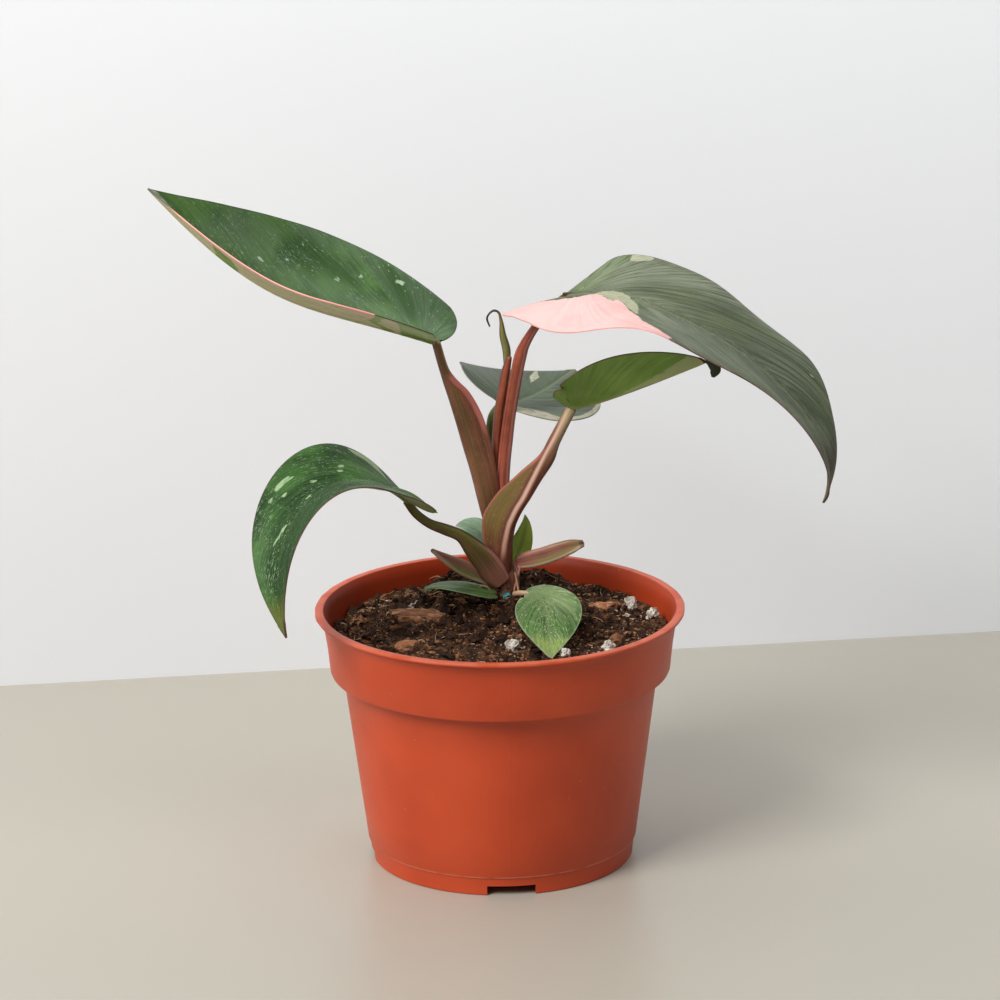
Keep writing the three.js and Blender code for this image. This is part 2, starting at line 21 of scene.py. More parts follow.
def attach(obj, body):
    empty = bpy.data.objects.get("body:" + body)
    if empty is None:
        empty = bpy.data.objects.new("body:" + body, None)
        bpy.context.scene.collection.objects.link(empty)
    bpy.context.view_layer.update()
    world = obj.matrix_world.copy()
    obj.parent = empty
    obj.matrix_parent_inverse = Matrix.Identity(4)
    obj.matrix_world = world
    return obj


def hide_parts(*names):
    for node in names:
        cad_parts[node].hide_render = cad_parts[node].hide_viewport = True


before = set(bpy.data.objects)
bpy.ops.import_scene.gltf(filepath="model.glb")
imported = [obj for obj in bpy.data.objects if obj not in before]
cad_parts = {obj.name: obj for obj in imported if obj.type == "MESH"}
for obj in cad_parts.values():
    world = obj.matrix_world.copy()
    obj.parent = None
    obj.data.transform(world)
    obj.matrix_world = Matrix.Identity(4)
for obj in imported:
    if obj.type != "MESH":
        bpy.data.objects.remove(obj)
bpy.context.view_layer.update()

log = logging.getLogger("philodendron")

MM = 0.001
BODY = "root"
WELD = 1e-6  # metres within which two vertices are one

Point = tuple[float, float, float]
Spot = tuple[float, float]
Colour = tuple[float, float, float, float]


def tint(code: str) -> Colour:
    """Turn a screen colour into Blender's linear one.

    Args:
        code: six hexadecimal digits.

    Returns:
        Red, green, blue and alpha, each from 0 to 1.
    """
    shares = [int(code[i : i + 2], 16) / 255 for i in (0, 2, 4)]
    linear = [s / 12.92 if s <= 0.04045 else ((s + 0.055) / 1.055) ** 2.4 for s in shares]
    return (*linear, 1.0)


# ---------------------------------------------------------------- modelling


class Bench:
    """The modelling operators, each used on one object at a time."""

    @staticmethod
    def clear() -> None:
        """Deselect everything."""
        for item in bpy.context.selected_objects:
            item.select_set(False)

    @staticmethod
    def take(item: bpy.types.Object) -> bpy.types.Object:
        """Make one object the only selected and the active one.

        Args:
            item: the object.

        Returns:
            The same object.
        """
        Bench.clear()
        item.select_set(True)
        bpy.context.view_layer.objects.active = item
        return item

    @staticmethod
    @contextmanager
    def edit(item: bpy.types.Object, mode: str = "VERT") -> Iterator[bpy.types.Object]:
        """Open one object in edit mode.

        Args:
            item: the object.
            mode: what is selected, VERT, EDGE or FACE.

        Yields:
            The same object.
        """
        Bench.take(item)
        bpy.ops.object.mode_set(mode="EDIT")
        bpy.ops.mesh.select_mode(type=mode)
        yield item
        bpy.ops.object.mode_set(mode="OBJECT")

    @staticmethod
    def named(name: str) -> bpy.types.Object:
        """Name the object that an operator has just added, and its mesh.

        Args:
            name: the new name.

        Returns:
            The object.
        """
        item = bpy.context.object
        item.name = name
        item.data.name = name
        return item

    @staticmethod
    def sheet(name: str, rows: int, columns: int) -> bpy.types.Object:
        """Add a flat grid whose corners are at 0 and 1 in X (rows) and Y (columns).

        Args:
            name: the new object's name.
            rows: how many quads it has along X.
            columns: how many it has along Y.

        Returns:
            The new object.
        """
        Bench.clear()
        bpy.ops.mesh.primitive_grid_add(
            x_subdivisions=rows, y_subdivisions=columns, size=1, location=(0.5, 0.5, 0)
        )
        item = Bench.named(name)
        bpy.ops.object.transform_apply(location=True, rotation=True, scale=True)
        return item

    @staticmethod
    def points(item: bpy.types.Object) -> np.ndarray:
        """Give the vertices' places, one row each, as the mesh holds them.

        Args:
            item: the object.

        Returns:
            The places, in the mesh's own units.
        """
        flat = np.empty(len(item.data.vertices) * 3)
        item.data.vertices.foreach_get("co", flat)
        return flat.reshape(-1, 3)

    @staticmethod
    def place(item: bpy.types.Object, places: np.ndarray) -> None:
        """Move the vertices to these places, which are in metres."""
        item.data.vertices.foreach_set("co", np.asarray(places, dtype=np.float32).ravel())
        item.data.update()

    @staticmethod
    def normals(item: bpy.types.Object) -> np.ndarray:
        """Give the vertices' normals, one row each.

        Args:
            item: the object.

        Returns:
            The normals, each with a length of 1.
        """
        flat = np.empty(len(item.data.vertices) * 3)
        item.data.vertices.foreach_get("normal", flat)
        return flat.reshape(-1, 3)

    @staticmethod
    def note(item: bpy.types.Object, name: str, values: np.ndarray) -> None:
        """Keep a number or a vector for each vertex, for a material to read.

        Args:
            item: the object.
            name: the attribute's name.
            values: one number or one row of three for each vertex.
        """
        vector = values.ndim == 2
        kind = "FLOAT_VECTOR" if vector else "FLOAT"
        made = item.data.attributes.new(name, kind, "POINT")
        made.data.foreach_set("vector" if vector else "value", values.astype(np.float32).ravel())

    @staticmethod
    def modify(item: bpy.types.Object, kind: str, **settings: Any) -> None:
        """Add a modifier and apply it.

        Args:
            item: the object.
            kind: the modifier's type.
            **settings: its properties.
        """
        Bench.take(item)
        modifier = item.modifiers.new(kind.title(), kind)
        for key, value in settings.items():
            setattr(modifier, key, value)
        bpy.ops.object.modifier_apply(modifier=modifier.name)

    @staticmethod
    def weld(item: bpy.types.Object, fill: bool = False) -> None:
        """Merge the vertices that meet, close holes if asked, and turn the faces outwards.

        Args:
            item: the object.
            fill: whether open ends get a face.
        """
        with Bench.edit(item):
            bpy.ops.mesh.select_all(action="SELECT")
            bpy.ops.mesh.remove_doubles(threshold=WELD)
            if fill:
                bpy.ops.mesh.fill_holes(sides=0)
                bpy.ops.mesh.select_all(action="SELECT")
                bpy.ops.mesh.normals_make_consistent(inside=False)

    @staticmethod
    def smooth(item: bpy.types.Object, degrees: float = 180) -> None:
        """Shade smooth across edges that turn by less than this angle."""
        Bench.take(item)
        bpy.ops.object.shade_smooth_by_angle(angle=math.radians(degrees))

    @staticmethod
    def copies(
        name: str, forms: Sequence[bpy.types.Object], stands: Sequence[tuple[int, Matrix, float]]
    ) -> bpy.types.Object:
        """Join many copies of a few forms, and remove the forms.

        Args:
            name: the new object's name.
            forms: what is copied.
            stands: for each copy the form's number, its placing in millimetres, and a shade.

        Returns:
            One object, with each copy's shade in the attribute "shade".
        """
        places, faces, shades, start = [], [], [], 0
        shapes = [(Bench.points(f), [tuple(p.vertices) for p in f.data.polygons]) for f in forms]
        for number, stand, shade in stands:
            points, polygons = shapes[number]
            turned = points @ np.array(stand.to_3x3()).T + np.array(stand.translation)
            places.append(turned * MM)
            faces += [tuple(start + k for k in p) for p in polygons]
            shades.append(np.full(len(points), shade))
            start += len(points)
        mesh = bpy.data.meshes.new(name)
        mesh.from_pydata(np.vstack(places).tolist(), [], faces)
        item = bpy.data.objects.new(name, mesh)
        bpy.context.scene.collection.objects.link(item)
        Bench.note(item, "shade", np.concatenate(shades))
        for form in forms:
            bpy.data.objects.remove(form)
        return item

    @staticmethod
    def dress(
        item: bpy.types.Object,
        materials: Sequence[bpy.types.Material],
        slot: str,
        nodes: Sequence[str] = (),
    ) -> bpy.types.Object:
        """Give a finished piece its materials and its body, and hide the CAD nodes that it
        replaces.

        Args:
            item: the finished piece.
            materials: its materials, in the order of the faces' numbers.
            slot: the record's material slot; not used.
            nodes: the CAD nodes that it replaces.

        Returns:
            The same piece.
        """
        slots = item.data.materials
        for number, material in enumerate(materials):
            if number < len(slots):
                slots[number] = material
            else:
                slots.append(material)
        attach(item, BODY)
        if nodes:
            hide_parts(*nodes)
        item.data.calc_loop_triangles()
        log.info("%-24s %7d triangles", item.name, len(item.data.loop_triangles))
        return item


# ---------------------------------------------------------------- shader maths


class Signal:
    """A number that varies over a surface, with arithmetic that adds Math nodes."""

    def __init__(self, graph: "Graph", socket: bpy.types.NodeSocket) -> None:
        """Wrap one output socket of a graph."""
        self.graph = graph
        self.socket = socket

    def __add__(self, other: "Number") -> "Signal":
        """Add."""
        return self.graph.maths("ADD", self, other)

    __radd__ = __add__

    def __sub__(self, other: "Number") -> "Signal":
        """Subtract."""
        return self.graph.maths("SUBTRACT", self, other)

    def __rsub__(self, other: "Number") -> "Signal":
        """Subtract from a number."""
        return self.graph.maths("SUBTRACT", other, self)

    def __mul__(self, other: "Number") -> "Signal":
        """Multiply."""
        return self.graph.maths("MULTIPLY", self, other)

    __rmul__ = __mul__

    def __truediv__(self, other: "Number") -> "Signal":
        """Divide."""
        return self.graph.maths("DIVIDE", self, other)

    def __neg__(self) -> "Signal":
        """Turn the sign."""
        return self.graph.maths("MULTIPLY", self, -1.0)

    def __pow__(self, power: float) -> "Signal":
        """Raise to a power."""
        return self.graph.maths("POWER", self, power)

    def sine(self) -> "Signal":
        """Give the sine of an angle in radians."""
        return self.graph.maths("SINE", self)

    def size(self) -> "Signal":
        """Give the value without its sign."""
        return self.graph.maths("ABSOLUTE", self)

    def most(self, other: "Number") -> "Signal":
        """Give the larger of two."""
        return self.graph.maths("MAXIMUM", self, other)

    def ramp(self, low: float, high: float, start: float = 0, end: float = 1) -> "Signal":
        """Rise smoothly from start to end while this goes from low to high.

        Args:
            low: where the rise begins.
            high: where it ends; below low, it falls.
            start: the result before it.
            end: the result after it.

        Returns:
            The risen value.
        """
        turned = low > high
        made = self.graph.node(
            "ShaderNodeMapRange",
            {"interpolation_type": "SMOOTHSTEP", "clamp": True},
            {
                "Value": self,
                "From Min": high if turned else low,
                "From Max": low if turned else high,
                "To Min": end if turned else start,
                "To Max": start if turned else end,
            },
        )
        return Signal(self.graph, made.outputs["Result"])


Number = Signal | float
Tone = Colour | bpy.types.NodeSocket


class Graph:
    """One material's nodes."""

    def __init__(self, name: str) -> None:
        """Start an empty material of this name.

        Args:
            name: the material's name.
        """
        self.material = bpy.data.materials.new(name)
        self.material.use_nodes = True
        self.tree = self.material.node_tree
        self.tree.nodes.clear()

    def node(
        self,
        kind: str,
        settings: Mapping[str, Any] | None = None,
        inputs: Mapping[str | int, Any] | None = None,
    ) -> bpy.types.Node:
        """Add a node.

        Args:
            kind: the node's type.
            settings: its properties, set first; "stops" are a colour ramp's places and colours.
            inputs: a value, a socket or a Signal for each named or numbered input.

        Returns:
            The new node.
        """
        made = self.tree.nodes.new(kind)
        for key, value in (settings or {}).items():
            if key == "stops":
                elements = made.color_ramp.elements
                while len(elements) < len(value):
                    elements.new(0.5)
                for element, (place, colour) in zip(elements, value):
                    element.position = place
                    element.color = colour
            else:
                setattr(made, key, value)
        for key, value in (inputs or {}).items():
            socket = made.inputs[key]
            if isinstance(value, Signal):
                value = value.socket
            if isinstance(value, bpy.types.NodeSocket):
                self.tree.links.new(value, socket)
            else:
                socket.default_value = value
        return made

    def maths(self, operation: str, *values: Number) -> Signal:
        """Add a Math node on one or two values."""
        made = self.node("ShaderNodeMath", {"operation": operation}, dict(enumerate(values)))
        return Signal(self, made.outputs[0])

    def number(self, name: str) -> Signal:
        """Read a number that the mesh keeps for each vertex."""
        made = self.node("ShaderNodeAttribute", {"attribute_name": name})
        return Signal(self, made.outputs["Fac"])

    def vector(self, name: str) -> bpy.types.NodeSocket:
        """Read a vector that the mesh keeps for each vertex."""
        return self.node("ShaderNodeAttribute", {"attribute_name": name}).outputs["Vector"]

    def object_place(self) -> bpy.types.NodeSocket:
        """Give the place on the piece, in metres."""
        return self.node("ShaderNodeTexCoord").outputs["Object"]

    def parts(self, vector: bpy.types.NodeSocket) -> tuple[Signal, Signal, Signal]:
        """Split a vector into its three numbers."""
        made = self.node("ShaderNodeSeparateXYZ", inputs={0: vector})
        return tuple(Signal(self, made.outputs[k]) for k in range(3))

    def stretch(self, vector: bpy.types.NodeSocket, by: Point) -> bpy.types.NodeSocket:
        """Multiply a vector's three numbers by three others."""
        made = self.node("ShaderNodeVectorMath", {"operation": "MULTIPLY"}, {0: vector, 1: by})
        return made.outputs[0]

    def towards(self, vector: bpy.types.NodeSocket, way: Point) -> Signal:
        """Say how far a vector goes in a direction."""
        made = self.node("ShaderNodeVectorMath", {"operation": "DOT_PRODUCT"}, {0: vector, 1: way})
        return Signal(self, made.outputs["Value"])

    def cloud(
        self, vector: bpy.types.NodeSocket, scale: float, detail: float = 3, rough: float = 0.5
    ) -> Signal:
        """Add smooth noise from 0 to 1.

        Args:
            vector: where it is read.
            scale: how many of its lumps fit in one unit.
            detail: how many finer octaves it has.
            rough: how strong they are.

        Returns:
            The noise.
        """
        inputs = {"Vector": vector, "Scale": scale, "Detail": detail, "Roughness": rough}
        return Signal(self, self.node("ShaderNodeTexNoise", inputs=inputs).outputs[0])

    def cells(self, vector: bpy.types.NodeSocket, scale: float, feature: str = "F1") -> Signal:
        """Add the distance to scattered points, or to the borders between them.

        Args:
            vector: where it is read.
            scale: how many points fit in one unit.
            feature: F1, or DISTANCE_TO_EDGE.

        Returns:
            The distance, in units of the scale.
        """
        made = self.node(
            "ShaderNodeTexVoronoi", {"feature": feature}, {"Vector": vector, "Scale": scale}
        )
        return Signal(self, made.outputs["Distance"])

    def blend(
        self, share: Number, first: Tone, second: Tone, how: str = "MIX"
    ) -> bpy.types.NodeSocket:
        """Mix two colours.

        Args:
            share: how much of the second shows.
            first: the colour below.
            second: the colour above.
            how: the way they mix.

        Returns:
            The mixed colour.
        """
        settings = {"data_type": "RGBA", "blend_type": how, "clamp_factor": True}
        return self.node("ShaderNodeMix", settings, {0: share, 6: first, 7: second}).outputs[2]

    def relief(self, height: Signal, depth: float, strength: float = 1) -> bpy.types.NodeSocket:
        """Turn a height into a normal.

        Args:
            height: the height, in units of depth.
            depth: how high a height of 1 is, in millimetres.
            strength: how much of it shows.

        Returns:
            The normal.
        """
        inputs = {"Height": height, "Distance": depth * MM, "Strength": strength}
        return self.node("ShaderNodeBump", inputs=inputs).outputs[0]

    def finish(self, **sockets: Any) -> bpy.types.Material:
        """Add the surface shader and the output.

        Args:
            **sockets: the shader's inputs, with _ for a space in their names.

        Returns:
            The finished material.
        """
        inputs = {key.replace("_", " "): value for key, value in sockets.items()}
        shader = self.node("ShaderNodeBsdfPrincipled", inputs=inputs)
        self.node("ShaderNodeOutputMaterial", inputs={"Surface": shader.outputs[0]})
        return self.material


# ---------------------------------------------------------------- finishes


@dataclass(frozen=True)
class MouldedPlastic:
    """Satin terracotta-coloured polypropylene with handling marks."""

    name: str = "terracotta_plastic"
    body: Colour = tint("c4471f")
    deep: Colour = tint("b23c18")
    rub: Colour = tint("dd8a6c")
    gloss: float = 0.42
    roughness: float = 0.42
    parting: float = 3.0  # degrees from the front at which the mould's halves met
    foot_line: float = 5.75  # millimetres up to the rubbed edge above the foot
    lip_line: float = 74.8  # and to the one at the rim's top
    lip_radius: float = 51.0

    def make(self) -> bpy.types.Material:
        """Build the material.

        Returns:
            The finished material.
        """
        g = Graph(self.name)
        place = g.object_place()
        x, y, z = g.parts(place)
        cloudy = g.cloud(place, 28, 3)
        fine = g.cloud(place, 900, 2)
        colour = g.blend(cloudy.ramp(0.3, 0.75), self.body, self.deep)
        specks = g.cells(place, 170).ramp(0.085, 0.04) * g.cloud(place, 60, 1).ramp(0.5, 0.62)
        colour = g.blend(specks * 0.25, colour, self.rub)
        high = z / MM
        foot = (high - self.foot_line).size().ramp(0.34, 0.12)
        foot = foot * g.cloud(place, 160, 3).ramp(0.36, 0.55)
        from_axis = g.maths("SQRT", x * x + y * y) / MM
        lip = (high - self.lip_line).size().ramp(0.5, 0.25)
        lip = lip * from_axis.ramp(self.lip_radius, self.lip_radius + 1)
        lip = lip * g.cloud(place, 150, 3).ramp(0.3, 0.6)
        colour = g.blend(foot * 0.6 + lip * 0.25, colour, self.rub)
        streak = g.cloud(g.stretch(place, (1, 1, 0.03)), 420, 2).ramp(0.64, 0.76)
        colour = g.blend(streak * 0.04, colour, self.deep)
        scratch = g.cloud(g.stretch(place, (0.12, 0.12, 1.6)), 700, 2).ramp(0.68, 0.74)
        rough = cloudy * 0.14 + (self.roughness - 0.07) + fine * 0.05 + scratch * 0.06
        facing = math.radians(self.parting)
        side = g.towards(place, (math.cos(facing), math.sin(facing), 0))
        seam = (side / MM).size().ramp(0.22, 0.05)
        height = fine * 0.25 + g.cloud(place, 240, 2) * 0.6 + seam * 0.5
        return g.finish(
            Base_Color=colour, Roughness=rough, Normal=g.relief(height, 0.05),
            Specular_IOR_Level=self.gloss
        )


@dataclass(frozen=True)
class LeafFinish:
    """Waxy leaf tissue: green with its veins, the patches that lack green, and patches of painted
    sheen and painted shade.
    """

    name: str
    green: Colour
    deep: Colour
    # pale: the colour of the painted sheen patches, and of the paler bands between the veins
    pale: Colour = tint("7d8a70")
    fresh: Colour = tint("6f8a3c")
    pink: Colour = tint("f3bfb8")
    blush: Colour = tint("ee9f9a")
    cream: Colour = tint("aab08c")
    brown: Colour = tint("4b3a2b")
    margin: Colour = tint("54302d")
    rib: Colour = tint("7c8560")
    fleck: Colour = tint("c3cfae")
    spacing: float = 2.0  # millimetres between side veins, at the midrib
    veined: float = 0.4  # how dark the veins are
    streaks: float = 0.4  # how much paler bands between them show
    painted_sheen: float = 0.7  # how strong the painted sheen patches are
    flecks: float = 0.0
    ribbed: float = 0.4  # how much of the midrib's own colour shows
    roughness: float = 0.4
    gloss: float = 0.18
    relief: float = 0.07

    def make(self) -> bpy.types.Material:
        """Build the material.

        Returns:
            The finished material.
        """
        g = Graph(self.name)
        veins, leaf = g.vector("veins"), g.vector("leaf")
        pitch = 1 / self.spacing
        bands = g.cloud(g.stretch(veins, (0.75 * pitch, 0.02, 1)), 1, 2, 0.5)
        threads = g.cloud(g.stretch(veins, (2.2 * pitch, 0.02, 1)), 1, 2, 0.5)
        fine = g.cloud(g.stretch(veins, (4.5 * pitch, 0.07, 1)), 1, 3, 0.6)
        wander = g.cloud(g.stretch(veins, (0.45, 0.12, 1)), 1, 4, 0.65) - 0.5
        colour = g.blend(g.cloud(leaf, 0.07, 2).ramp(0.35, 0.65), self.deep, self.green)
        colour = g.blend((g.number("fresh") + wander * 6).ramp(-2.5, 2.5), colour, self.fresh)
        # Pale patches: painted sheen, grey-green where light glances off the waxy surface.
        colour = g.blend(
            (g.number("pale") + wander * 14).ramp(-5, 5) * self.painted_sheen, colour, self.pale
        )
        # Dark patches: darker green tissue, and painted shade in creases, in the midrib's valley
        # and on parts turned from the light.
        colour = g.blend((g.number("dark") + wander * 10).ramp(-3, 3) * 0.85, colour, self.deep)
        colour = g.blend(bands.ramp(0.38, 0.64) * self.streaks, colour, self.pale)
        colour = g.blend(fine.ramp(0.42, 0.66) * (self.streaks * 0.6), colour, self.pale)
        thread = (threads - 0.5).size().ramp(0.045, 0)
        colour = g.blend(thread * self.veined, colour, self.deep)
        colour = g.blend(fine.ramp(0.5, 0.36) * (self.veined * 0.6), colour, self.deep)
        colour = g.blend(g.number("brown").ramp(-5, 4) * 0.85, colour, self.brown)
        colour = g.blend(g.number("rib").ramp(0.9, 0.3) * self.ribbed, colour, self.rib)
        cream = (g.number("cream") + wander * 2.2).ramp(-0.16, 0.16)
        milky = g.blend(g.cloud(leaf, 0.5, 3).ramp(0.4, 0.7) * 0.5, self.cream, self.pale)
        colour = g.blend(cream * 0.92, colour, milky)
        if self.flecks:
            speck = g.cloud(g.stretch(veins, (1.9, 0.5, 1)), 1, 3, 0.6)
            crowd = g.cloud(leaf, 0.09, 1) * 0.14 + 0.05 * self.flecks
            spots = (speck + crowd).ramp(0.745, 0.775)
            dots = g.cells(g.stretch(leaf, (1, 1, 0)), 0.9).ramp(0.17, 0.08)
            dots = dots * (g.cloud(leaf, 0.16, 2) + 0.06 * self.flecks).ramp(0.5, 0.62)
            colour = g.blend(spots.most(dots * 0.8) * 0.7, colour, self.fleck)
        pink = (g.number("pink") + wander * 2.4).ramp(-0.12, 0.12)
        rosy = g.blend(g.cloud(leaf, 0.11, 3).ramp(0.35, 0.7), self.pink, self.blush)
        rosy = g.blend(fine.ramp(0.4, 0.65) * 0.15, rosy, self.pink)
        colour = g.blend(pink, colour, rosy)
        line = g.blend(pink * 0.8, self.margin, self.blush)
        colour = g.blend((g.number("edge") + wander * 0.3).ramp(0.4, 0.1) * 0.6, colour, line)
        rough = g.cloud(leaf, 0.3, 2) * 0.12 + (self.roughness - 0.06) + pink * 0.08
        ripple = (g.parts(veins)[0] * (2 * math.pi * pitch * 0.6) + bands * 9).sine() * 0.25
        ripple = (ripple + bands * 1.3) * g.number("rib").ramp(0, 5)
        height = ripple - thread * 0.25 + fine * 0.5 + g.cloud(leaf, 1.9, 2) * 0.5
        return g.finish(
            Base_Color=colour,
            Roughness=rough,
            Normal=g.relief(height, self.relief),
            Specular_IOR_Level=self.gloss,
        )


@dataclass(frozen=True)
class MarginFinish:
    """The thin line round a blade: maroon, and rosy where the leaf is pink."""

    name: str = "leaf_margin"
    light: Colour = tint("7c5048")
    dark: Colour = tint("432422")
    rose: Colour = tint("dd9791")

    def make(self) -> bpy.types.Material:
        """Build the material.

        Returns:
            The finished material.
        """
        g = Graph(self.name)
        place = g.object_place()
        colour = g.blend(g.cloud(place, 90, 3).ramp(0.35, 0.65), self.dark, self.light)
        colour = g.blend(g.number("pink").ramp(-0.5, 0.5), colour, self.rose)
        rough = g.cloud(place, 500, 2) * 0.2 + 0.4
        return g.finish(Base_Color=colour, Roughness=rough)


class From(Enum):
    """What a strip's place on a stalk is measured from, in millimetres, as seen from the front."""

    MIDDLE = 0
    LEFT = 1
    RIGHT = 2


@dataclass(frozen=True)
class Strip:
    """A lengthwise strip of another colour on a stalk; the thin dark ones along a stalk's outline
    are painted shade.
    """

    colour: Colour
    at: float
    reach: float
    side: From = From.MIDDLE
    start: float = -5
    end: float = 500
    blur: float = 0.25
    fade: float = 3
    strength: float = 1


@dataclass(frozen=True)
class StalkFinish:
    """Smooth stalk skin with lengthwise lines, strips and speckles."""

    name: str
    base: Colour
    deep: Colour
    speckle: Colour = tint("a9835a")
    speckles: float = 0.5
    strips: tuple[Strip, ...] = ()
    roughness: float = 0.38

    def make(self) -> bpy.types.Material:
        """Build the material.

        Returns:
            The finished material.
        """
        g = Graph(self.name)
        around, spread = g.vector("around"), g.vector("spread")
        _, _, along = g.parts(around)
        places = g.parts(spread)
        place = g.object_place()
        lines = g.cloud(g.stretch(spread, (2.2, 0, 0)), 1, 2, 0.6)
        lines = lines * 0.5 + g.cloud(g.stretch(around, (5, 5, 0.05)), 1, 3, 0.65) * 0.5
        cloudy = g.cloud(place, 90, 4, 0.6)
        colour = g.blend((lines * 0.6 + cloudy * 0.4).ramp(0.4, 0.62), self.base, self.deep)
        wander = (g.cloud(g.stretch(around, (1, 1, 0.16)), 1, 3) - 0.5) * 0.8
        for strip in self.strips:
            off = (places[strip.side.value] - strip.at + wander * min(1.0, strip.reach)).size()
            mask = off.ramp(strip.reach + strip.blur, strip.reach - strip.blur)
            mask = mask * along.ramp(strip.start - strip.fade, strip.start + strip.fade)
            mask = mask * along.ramp(strip.end + strip.fade, strip.end - strip.fade)
            shade = g.blend(lines.ramp(0.4, 0.7) * 0.35, strip.colour, self.deep)
            colour = g.blend(mask * strip.strength, colour, shade)
        flakes = g.cloud(g.stretch(around, (7, 7, 0.9)), 1, 3, 0.7).ramp(0.6, 0.72)
        colour = g.blend(flakes * self.speckles, colour, self.speckle)
        height = lines + g.cloud(place, 1500, 2) * 0.3 + flakes * 0.3
        rough = cloudy * 0.16 + (self.roughness - 0.08)
        return g.finish(
            Base_Color=colour, Roughness=rough, Normal=g.relief(height, 0.14),
            Specular_IOR_Level=0.35
        )


@dataclass(frozen=True)
class CrumbFinish:
    """Damp, crumbly potting mix and what is in it."""

    name: str
    dark: Colour
    light: Colour
    roughness: float = 0.85
    grain: float = 1400
    depth: float = 0.25

    def make(self) -> bpy.types.Material:
        """Build the material.

        Returns:
            The finished material.
        """
        g = Graph(self.name)
        place = g.object_place()
        shade = g.number("shade")
        fine = g.cloud(place, self.grain, 4, 0.65)
        patch = g.cloud(place, 180, 3)
        # The shade attribute darkens the bed's hollows (painted shade) and gives each crumb a
        # random tone.
        colour = g.blend(
            (patch * 0.4 + fine * 0.6 + shade - 0.5).ramp(0.25, 0.95), self.dark, self.light
        )
        rough = fine * 0.2 + (self.roughness - 0.1)
        return g.finish(
            Base_Color=colour, Roughness=rough, Normal=g.relief(fine, self.depth),
            Specular_IOR_Level=0.2
        )


@dataclass(frozen=True)
class BarkFinish:
    """A weathered bark chip, with grain along its length."""

    name: str = "bark_chip_wood"
    dark: Colour = tint("5a3420")
    light: Colour = tint("b5764c")
    pale: Colour = tint("dcaa80")

    def make(self) -> bpy.types.Material:
        """Build the material.

        Returns:
            The finished material.
        """
        g = Graph(self.name)
        chip = g.vector("chip")
        grain = g.cloud(g.stretch(chip, (0.16, 1.5, 1.1)), 1.3, 5, 0.6)
        colour = g.blend(grain.ramp(0.32, 0.62), self.dark, self.light)
        flake = g.cloud(g.stretch(chip, (0.3, 0.8, 1)), 0.9, 3).ramp(0.5, 0.62)
        colour = g.blend(flake * 0.6, colour, self.pale)
        return g.finish(
            Base_Color=colour, Roughness=grain * 0.2 + 0.7,
            Normal=g.relief(grain + flake * 0.5, 0.5)
        )


@dataclass(frozen=True)
class PerliteFinish:
    """Chalky white expanded grains with dust in their pores."""

    name: str = "perlite_grain"
    white: Colour = tint("d3cdc2")
    dust: Colour = tint("7c6654")

    def make(self) -> bpy.types.Material:
        """Build the material.

        Returns:
            The finished material.
        """
        g = Graph(self.name)
        place = g.object_place()
        pores = g.cells(place, 1500).ramp(0.2, 0.55)
        dirt = g.cloud(place, 420, 3).ramp(0.42, 0.64)
        colour = g.blend(dirt * 0.75, self.white, self.dust)
        colour = g.blend((1 - pores) * 0.25, colour, self.dust)
        return g.finish(
            Base_Color=colour, Roughness=pores * 0.1 + 0.8, Normal=g.relief(pores, 0.25)
        )


@dataclass(frozen=True)
class PrillFinish:
    """The coated shell of a slow-release fertiliser bead."""

    name: str = "fertiliser_coat"
    shell: Colour = tint("17696f")
    worn: Colour = tint("3f9aa0")

    def make(self) -> bpy.types.Material:
        """Build the material.

        Returns:
            The finished material.
        """
        g = Graph(self.name)
        place = g.object_place()
        mottle = g.cloud(place, 900, 3)
        colour = g.blend(mottle.ramp(0.45, 0.7), self.shell, self.worn)
        return g.finish(
            Base_Color=colour, Roughness=mottle * 0.2 + 0.3, Normal=g.relief(mottle, 0.06)
        )


@dataclass(frozen=True)
class BackdropFinish:
    """The pale table top or the wall behind it."""

    name: str
    base: Colour
    deep: Colour
    roughness: float
    one_sided: bool = False

    def make(self) -> bpy.types.Material:
        """Build the material.

        Returns:
            The finished material.
        """
        g = Graph(self.name)
        place = g.object_place()
        cloudy = g.cloud(place, 2.4, 2)
        fine = g.cloud(place, 700, 2)
        colour = g.blend(cloudy.ramp(0.3, 0.7), self.base, self.deep)
        rough = cloudy * 0.08 + (self.roughness - 0.04)
        material = g.finish(Base_Color=colour, Roughness=rough, Normal=g.relief(fine, 0.02))
        if self.one_sided:
            shader = next(n for n in g.tree.nodes if n.type == "BSDF_PRINCIPLED")
            output = next(n for n in g.tree.nodes if n.type == "OUTPUT_MATERIAL")
            back = g.node("ShaderNodeNewGeometry").outputs["Backfacing"]
            clear = g.node("ShaderNodeBsdfTransparent").outputs[0]
            mix = g.node("ShaderNodeMixShader", inputs={0: back, 1: shader.outputs[0], 2: clear})
            g.tree.links.new(mix.outputs[0], output.inputs["Surface"])
        return material


# ---------------------------------------------------------------- pot


